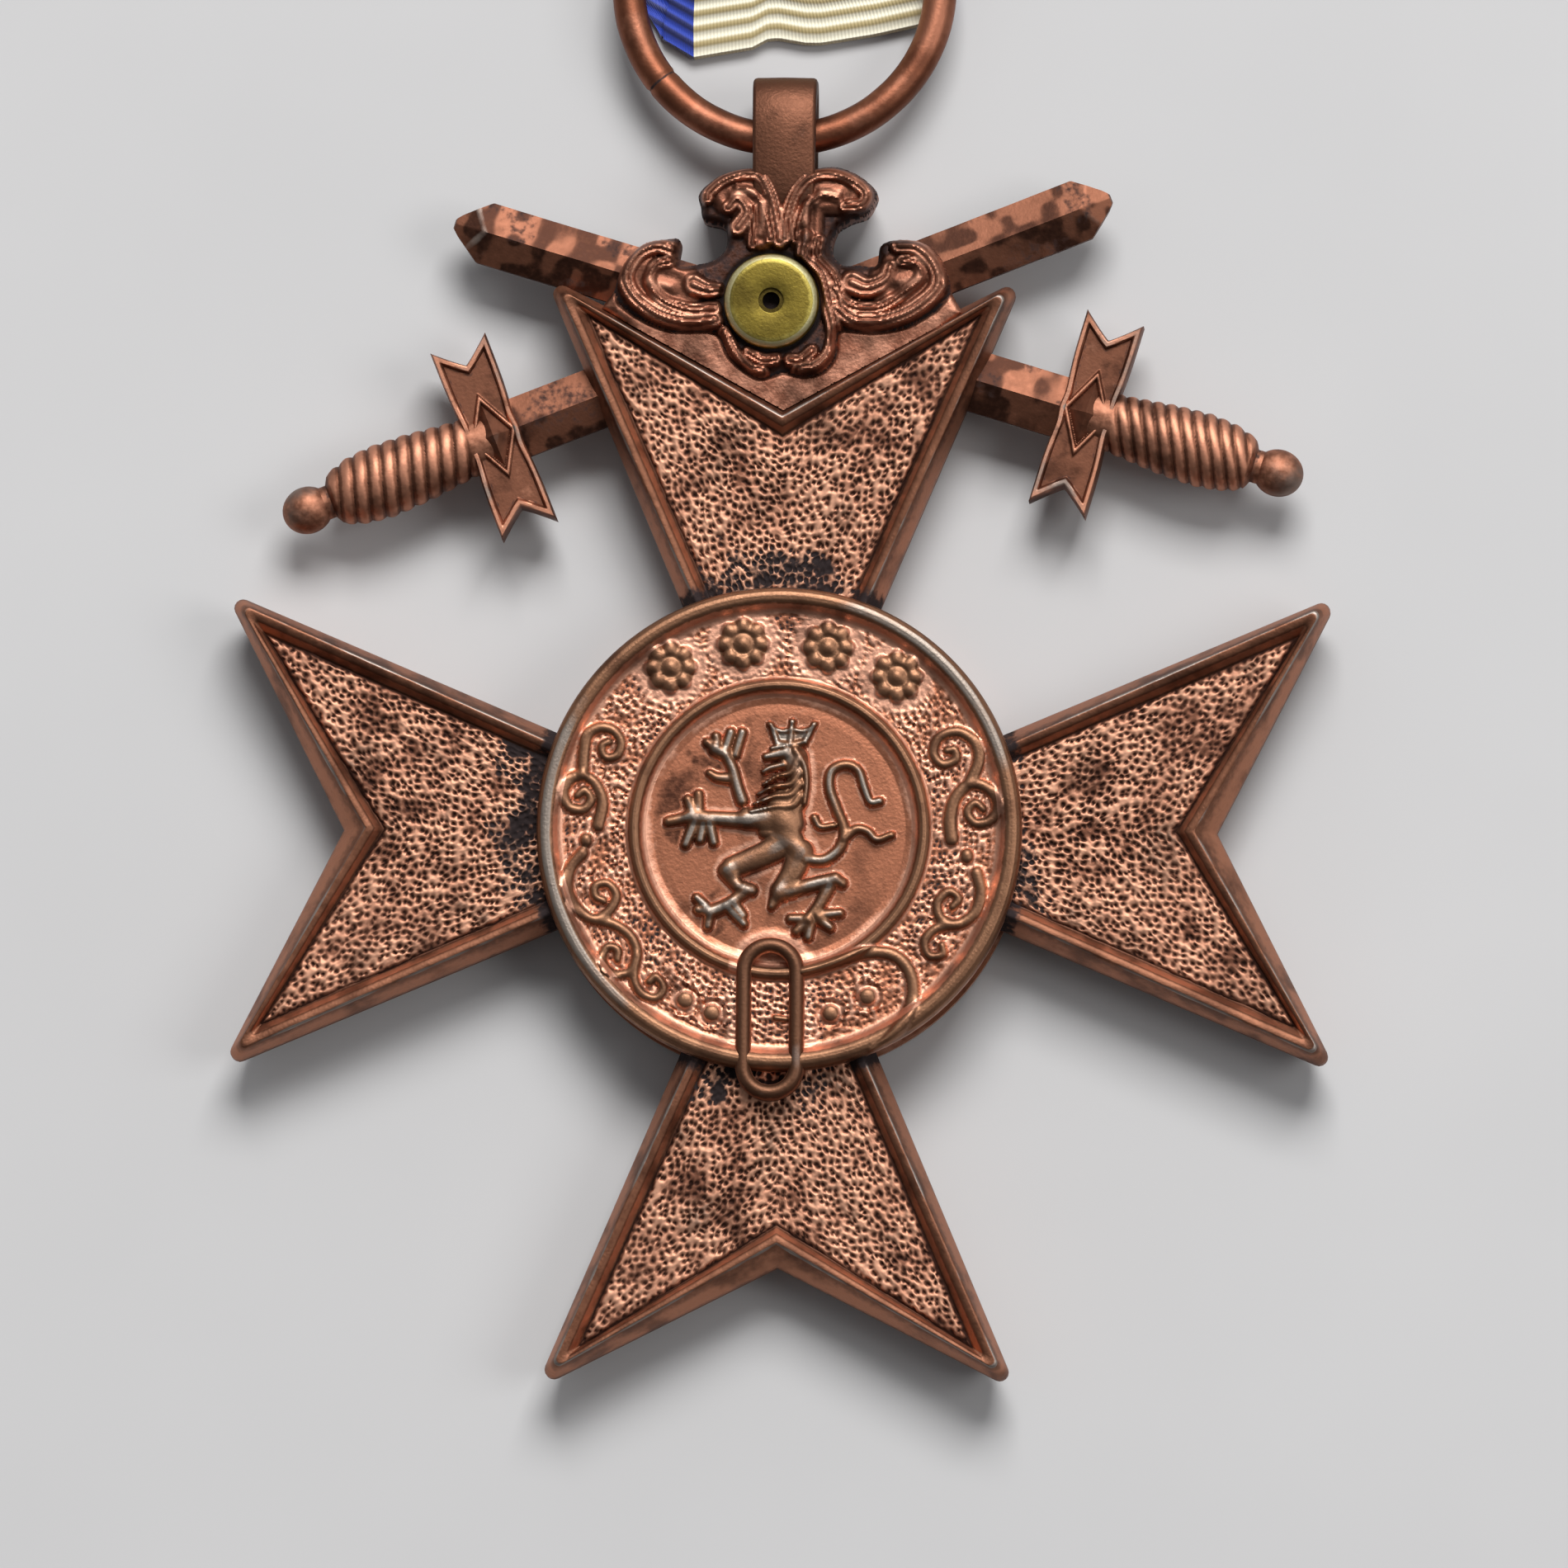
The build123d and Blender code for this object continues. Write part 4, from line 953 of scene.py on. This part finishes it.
def bracket(front):
    whole, scroll = bracket_outlines()
    pitch = 0.06 if front else 0.085
    x, y = np.meshgrid(np.arange(-7.3, 7.3, pitch), np.arange(16.3, 26.9, pitch), indexing="ij")
    d, fx, fy = inside_distance(x, y, whole)
    near = np.abs(d) < 0.62 * pitch
    x, y, d = np.where(near, fx, x), np.where(near, fy, y), np.where(near, 0, d)
    ds, _, _ = inside_distance(x, y, scroll)
    height, ratio = relief(x, y, [(h, fuller(p, 1.3 if p[0][2] < 0.5 else 1)) for h, p in SCROLLS])
    height = 0.72 * np.tanh(height / 0.72)
    veins = np.cos(2 * math.pi * 1.6 * ratio) * smooth(0.12, 0.3, height) * (ratio < 1.05)
    plate = 1.2 + 0.02 * (noise(x, y, 0.4, 81) - 0.5)
    body = 1.18 + 0.16 * smooth(0.0, 0.3, ds) + (height + 0.05 * veins) * smooth(-0.05, 0.2, ds)
    z = np.where(ds > 0, body, plate - 0.1 * smooth(-0.16, -0.03, ds))
    z = z - 0.3 * (1 - np.sqrt(1 - np.clip(1 - d / 0.3, 0, 1) ** 2)) * smooth(19.6, 20.6, y)
    z = z - 0.45 * smooth(25.6, 26.2, y)
    r = np.hypot(x - DISC_AT[0], y - DISC_AT[1])
    keep_low = smooth(DISC_R + 0.25, DISC_R + 0.02, r) if front else smooth(1.9, 1.6, r)
    z = z + (np.minimum(z, 1.22) - z) * keep_low
    value = 0.14 + 0.4 * smooth(0.1, 0.42, height) + 0.2 * smooth(0.45, 0.58, height) + 0.16 * veins
    value = np.where(ds > 0, value, 0.42 + 0.2 * noise(x, y, 0.5, 82))
    wear = 0.6 * smooth(0.38, 0.58, height) * smooth(0.35, 0.7, noise(x, y, 1.5, 83))
    dark = 0.6 * smooth(0.12, 0.0, np.abs(ds + 0.04)) + 0.8 * smooth(DISC_R + 0.2, DISC_R, r) * front
    dark += 0.55 * smooth(0.25, 0.05, height) * (ds > 0)
    shape = Shape()
    shape.slab(x, y, z, d >= 0, (value, 0.25), (wear, 0.0), (dark, 0.2))
    name = "front_scroll_bracket" if front else "rear_scroll_bracket"
    shape.build(f"{name}_relief", SCROLL, "medal", name, turn_over=not front, crisp=48)


bracket(True)
bracket(False)

# ------------------------------------------------------------------ rivet, eye and ring


def rivet_collar():
    low, high = cad("rivet_collar")
    bottom, top = low[2] - MID, high[2] - MID
    profile = [(0.5, bottom, 0.2), (1.84, bottom, 0.3), (1.86, bottom + 0.06, 0.45),
               (1.86, top - 0.3, 0.5), (1.8, top - 0.18, 0.66), (1.66, top - 0.06, 0.66),
               (1.56, top - 0.015, 0.6), (1.45, top, 0.45), (1.0, top, 0.4), (0.56, top - 0.005, 0.4),
               (0.5, top - 0.03, 0.5), (0.5, top - 0.3, 0.1)]
    rows = rings([(r, z) for r, z, _ in profile], DISC_AT)
    values = np.repeat([[v] for _, _, v in profile], AROUND, 1)
    # the bevel: rubbed brass and a painted highlight all round it
    wear = 0.9 * (values == 0.66)  # the bevel
    shape = Shape()
    shape.grid(rows, close_u=True, close_v=True, height=values, wear=wear)
    shape.build("rivet_disc", BRASS, "medal", "rivet_collar", crisp=30)


def eye():
    """The flat band bent into an eye; its section is given in half widths and millimetres of depth."""
    low, high = cad("suspension_eye")
    x, y, _ = (low + high) / 2
    wide, tall, deep = (high - low) / 2
    around = np.linspace(0, 2 * math.pi, AROUND, endpoint=False)
    section = [(-1, -0.14), (-0.96, -0.04), (-0.88, 0.0), (0, 0.02), (0.88, 0.0), (0.96, -0.04),
               (1, -0.14), (1, -0.5), (0.94, -0.62), (0, -0.63), (-0.94, -0.62), (-1, -0.5)]
    power = 0.72
    rows, value, wear = [], [], []
    for a, depth in section:
        c, s = np.cos(around), np.sin(around)
        ey = np.sign(s) * np.abs(s) ** power * (tall + depth)
        ez = np.sign(c) * np.abs(c) ** power * (deep + depth)
        px = x + a * wide * (1 + 0.03 * s)
        rows.append(np.stack([px + 0 * ey, y + ey, ez], 1))
        value.append(np.full(AROUND, 0.4 if depth > -0.1 else 0.15))
        # painted highlight: the rubbed grey on the middle and lower part of the band's front face stands in
        # for the light it catches
        front = smooth(0.2, 0.9, c) * smooth(0.6, 0.1, s) * smooth(-0.9, -0.5, s)
        wear.append(front * (0.4 if depth > -0.2 else 0))
    shape = Shape()
    shape.grid(rows, close_u=True, close_v=True, height=np.array(value), wear=np.array(wear))
    shape.build("suspension_band", EYE, "medal", "suspension_eye", crisp=50)


# as in the CAD: the ring's foot in the eye, its middle radius, its wire and how far its top hangs back
RING_X, RING_FOOT_Y, RING_R, WIRE_R, DROOP = -0.1, 27.3, 6.12, 0.65, math.radians(4.686)


def ring():
    along = np.linspace(0, 2 * math.pi, 260, endpoint=False)
    around = np.linspace(0, 2 * math.pi, 30, endpoint=False)
    aa, bb = np.meshgrid(along, around, indexing="ij")
    joint = math.radians(219)
    gap = np.abs((aa - joint + math.pi) % (2 * math.pi) - math.pi) * RING_R
    wire = WIRE_R - 0.05 * smooth(0.16, 0.02, gap) + 0.012 * (noise(aa * RING_R, bb, 0.9, 91) - 0.5)
    flat = RING_R + wire * np.cos(bb)
    x, up, out = flat * np.cos(aa), flat * np.sin(aa) + RING_R, wire * np.sin(bb)
    c, s = math.cos(DROOP), math.sin(DROOP)
    points = np.stack([RING_X + x, RING_FOOT_Y + up * c + out * s, out * c - up * s], -1)
    patch = noise(aa * RING_R, bb * WIRE_R, 1.1, 92)
    shape = Shape()
    shape.grid(points, close_u=True, close_v=True, height=0.2 + 0.5 * patch,
               wear=0.35 * smooth(0.5, 0.8, noise(aa * RING_R, bb * WIRE_R, 0.5, 93)),
               dark=0.7 * smooth(0.1, 0.02, gap))
    shape.build("copper_ring", WIRE, "ring", "suspension_ring", crisp=None)


rivet_collar()
eye()
ring()
for node, material in (("tube_rivet", BRASS), ("medallion_pins", WIRE)):
    frame["nodes"][node].material_slots[0].material = material

# ------------------------------------------------------------------ ribbon


RIB_PITCH, STRIPE = 0.62, 0.18  # a rib's width in millimetres, a blue stripe's share of the ribbon's width


def cloth():
    paint = Paint("ribbon_silk")
    sums, mix = paint.sums, paint.mix
    across = paint.value("across")
    wave = sums("SINE", sums("MULTIPLY", paint.value("along"), 2 * math.pi / RIB_PITCH))
    place = paint.new("ShaderNodeCombineXYZ", {"X": sums("MULTIPLY", across, 30.0)}).outputs[0]
    thread = paint.new("ShaderNodeTexWave", {"Vector": place, "Scale": 1.1, "Distortion": 0.4}).outputs[0]
    # painted light and shade: the ribs are coloured light, and the grooves between them tan in the cream and
    # dark blue in the stripes
    rib_light_and_shade = paint.ramp(wave, -0.9, 0.5)
    cream = mix(rib_light_and_shade, srgb(176, 158, 112), srgb(238, 232, 208))
    blue = mix(rib_light_and_shade, srgb(14, 26, 88), srgb(38, 66, 178))
    from_middle = sums("ABSOLUTE", sums("SUBTRACT", across, 0.5))
    stripe = sums("GREATER_THAN", from_middle, 0.5 - STRIPE)
    grooves = sums("ADD", wave, sums("MULTIPLY", thread, 0.4))
    return paint.finish(Base_Color=mix(stripe, cream, blue), Roughness=0.5, Sheen_Weight=0.3,
                        Normal=paint.bump(grooves, 0.7, 0.05))


# y, z of the cloth's middle, and x of its left edge, of the two stripes' inner edges and of its right edge
CLOTH = [
    (75.5, 0.16, -15.1, -9.7, 9.5, 14.9), (64.0, 0.16, -15.1, -9.7, 9.5, 14.9),
    (52.6, 0.16, -15.1, -9.7, 9.5, 14.9), (47.5, 0.16, -12.9, -8.3, 8.1, 12.7),
    (43.6, 0.16, -11.0, -7.0, 6.9, 10.7), (42.4, 0.16, -10.6, -6.7, 6.7, 10.3),
    (38.0, 0.16, -9.6, -5.4, 6.4, 9.4), (34.5, 0.16, -8.2, -4.3, 6.2, 8.2),
    (32.2, 0.17, -6.7, -3.85, 5.9, 6.7), (30.9, 0.18, -5.3, -3.7, 5.7, 6.2),
    (30.42, 0.34, -4.9, -3.7, 5.7, 6.2), (30.9, 0.5, -4.9, -3.7, 5.6, 6.1),
    (32.0, 0.74, -4.7, -3.7, 5.2, 5.7), (33.5, 1.14, -4.4, -3.6, 4.3, 4.8),
    (36.9, 2.1, -4.25, -3.2, 3.1, 4.1), (38.8, 2.32, -4.3, -3.2, 3.1, 4.2),
    (40.2, 2.02, -4.8, -3.4, 3.3, 4.6), (41.4, 1.2, -5.8, -4.0, 3.9, 5.6),
    (42.4, 0.5, -6.9, -4.7, 4.6, 6.7), (43.6, 0.46, -8.0, -5.4, 5.3, 7.8),
    (47.5, 0.46, -12.3, -8.0, 7.8, 12.1), (52.6, 0.46, -15.0, -9.7, 9.5, 14.8),
    (64.0, 0.46, -15.0, -9.7, 9.5, 14.8), (75.5, 0.46, -15.0, -9.7, 9.5, 14.8),
]


def fold_line(x):
    """How far the fold's lower edge is lifted along its length."""
    return np.interp(x, [-6.6, -3.7, -1.4, -0.8, -0.35, 0.7, 1.3, 3.4, 5.6],
                     [1.95, 0.22, 0.62, 0.95, 0.98, 0.8, 0.8, 1.15, 1.65])


def ribbon():
    path = spline(CLOTH, 14)
    step = np.hypot(*np.diff(path[:, :2], axis=0).T)
    length = np.concatenate([[0], np.cumsum(step)])
    rows = np.arange(0, length[-1], 0.3)
    path = np.stack([np.interp(rows, length, path[:, k]) for k in range(6)], 1)
    stops = [0, STRIPE, 1 - STRIPE, 1]
    across = np.concatenate([np.linspace(0, STRIPE, 12), np.linspace(STRIPE, 1 - STRIPE, 50)[1:],
                             np.linspace(1 - STRIPE, 1, 12)[1:]])
    weights = np.stack([np.interp(across, stops, row) for row in np.eye(4)], 1)
    x = path[:, 2:] @ weights.T
    y = np.repeat(path[:, :1], len(across), 1)
    z = np.repeat(path[:, 1:2], len(across), 1)
    loose = smooth(38.5, 31.0, y)
    y = y + fold_line(x) * loose
    apart = smooth(46, 58, y)
    z = z + apart * 0.22 * (1 + np.sin(y * 0.33 + x * 0.12))
    ahead_y, ahead_z = np.gradient(y, axis=0), np.gradient(z, axis=0)
    size = np.hypot(ahead_y, ahead_z)
    ny, nz = -ahead_z / size, ahead_y / size
    half = 0.13  # half the cloth's thickness
    front, back = (np.stack([x, y + side * ny * half, z + side * nz * half], -1) for side in (1, -1))
    shape = Shape()
    shape.grid(np.concatenate([front, back[:, ::-1]], 1), close_v=True)
    n, m = len(rows), 2 * len(across)
    shape.faces.append(list(range(m))[::-1])
    shape.faces.append([(n - 1) * m + k for k in range(m)])
    mesh = bpy.data.meshes.new("ribbon_cloth")
    mesh.from_pydata((shape.points[0] * MM).tolist(), [], shape.faces)
    both = np.concatenate([across, across[::-1]])
    for name, data in (("across", np.tile(both, n)), ("along", np.repeat(rows, m))):
        mesh.attributes.new(name, "FLOAT", "POINT").data.foreach_set("value", data.astype(np.float32))
    piece = new_object("ribbon_cloth", mesh, 60, cloth())
    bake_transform(piece)
    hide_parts("ribbon_loop", "ribbon_tails")


ribbon()

# ------------------------------------------------------------------ stage, light and camera


def stage():
    size = 3.0
    mesh = bpy.data.meshes.new("floor")
    mesh.from_pydata([(-size, -size, 0), (size, -size, 0), (size, size, 0), (-size, size, 0)], [],
                     [(0, 1, 2, 3)])
    paint = Paint("backdrop_paper")
    grey = paint.mix(paint.texture(18.0), srgb(185, 184, 184), srgb(193, 192, 192))
    new_object("floor", mesh, None, paint.finish(Base_Color=grey, Roughness=0.9))


def light(name, place, size, power):
    """A soft rectangular lamp that looks at the origin."""
    data = bpy.data.lights.new(name, "AREA")
    data.shape = "RECTANGLE"
    data.size, data.size_y = size
    data.energy = power
    lamp = bpy.data.objects.new(name, data)
    lamp.location = place
    lamp.rotation_euler = Vector(place).to_track_quat("Z", "Y").to_euler()
    bpy.context.collection.objects.link(lamp)


def camera():
    data = bpy.data.cameras.new("camera")
    lens = bpy.data.objects.new("camera", data)
    bpy.context.collection.objects.link(lens)
    bpy.context.scene.camera = lens
    distance, across = 1.15, 0.0614  # metres from the medal, and across the picture there
    data.sensor_width = 36
    data.lens = 36 * distance / across
    data.clip_start, data.clip_end = 0.05, 20
    back = Vector((0.04, -0.09, 1.0)).normalized()
    roll = math.radians(0.42)
    right = Vector((0, 1, 0)).cross(back).normalized()
    up = back.cross(right)
    right, up = right * math.cos(roll) + up * math.sin(roll), up * math.cos(roll) - right * math.sin(roll)
    target = Vector((0.12, 1.91, MID)) * MM
    place = target + back * distance
    lens.matrix_world = Matrix((
        (right.x, up.x, back.x, place.x), (right.y, up.y, back.y, place.y),
        (right.z, up.z, back.z, place.z), (0, 0, 0, 1)))


def world():
    """A sky that is brighter toward the medal's top."""
    scene_world = bpy.data.worlds.new("studio")
    bpy.context.scene.world = scene_world
    scene_world.use_nodes = True
    tree = scene_world.node_tree
    background = tree.nodes["Background"]
    place = tree.nodes.new("ShaderNodeTexCoord")
    split = tree.nodes.new("ShaderNodeSeparateXYZ")
    tree.links.new(place.outputs["Generated"], split.inputs[0])
    strength = tree.nodes.new("ShaderNodeMapRange")
    for key, value in (("From Min", -0.8), ("From Max", 0.9), ("To Min", 0.07), ("To Max", 0.5)):
        strength.inputs[key].default_value = value
    tree.links.new(split.outputs["Y"], strength.inputs["Value"])
    tree.links.new(strength.outputs[0], background.inputs["Strength"])
    background.inputs["Color"].default_value = (0.92, 0.94, 0.97, 1)


stage()
world()
light("key", (0.12, 0.68, 0.78), (0.6, 0.42), 13.0)
light("fill", (0.8, 0.0, 0.8), (0.5, 0.5), 3.0)
camera()
bpy.context.scene.view_settings.view_transform = "Standard"
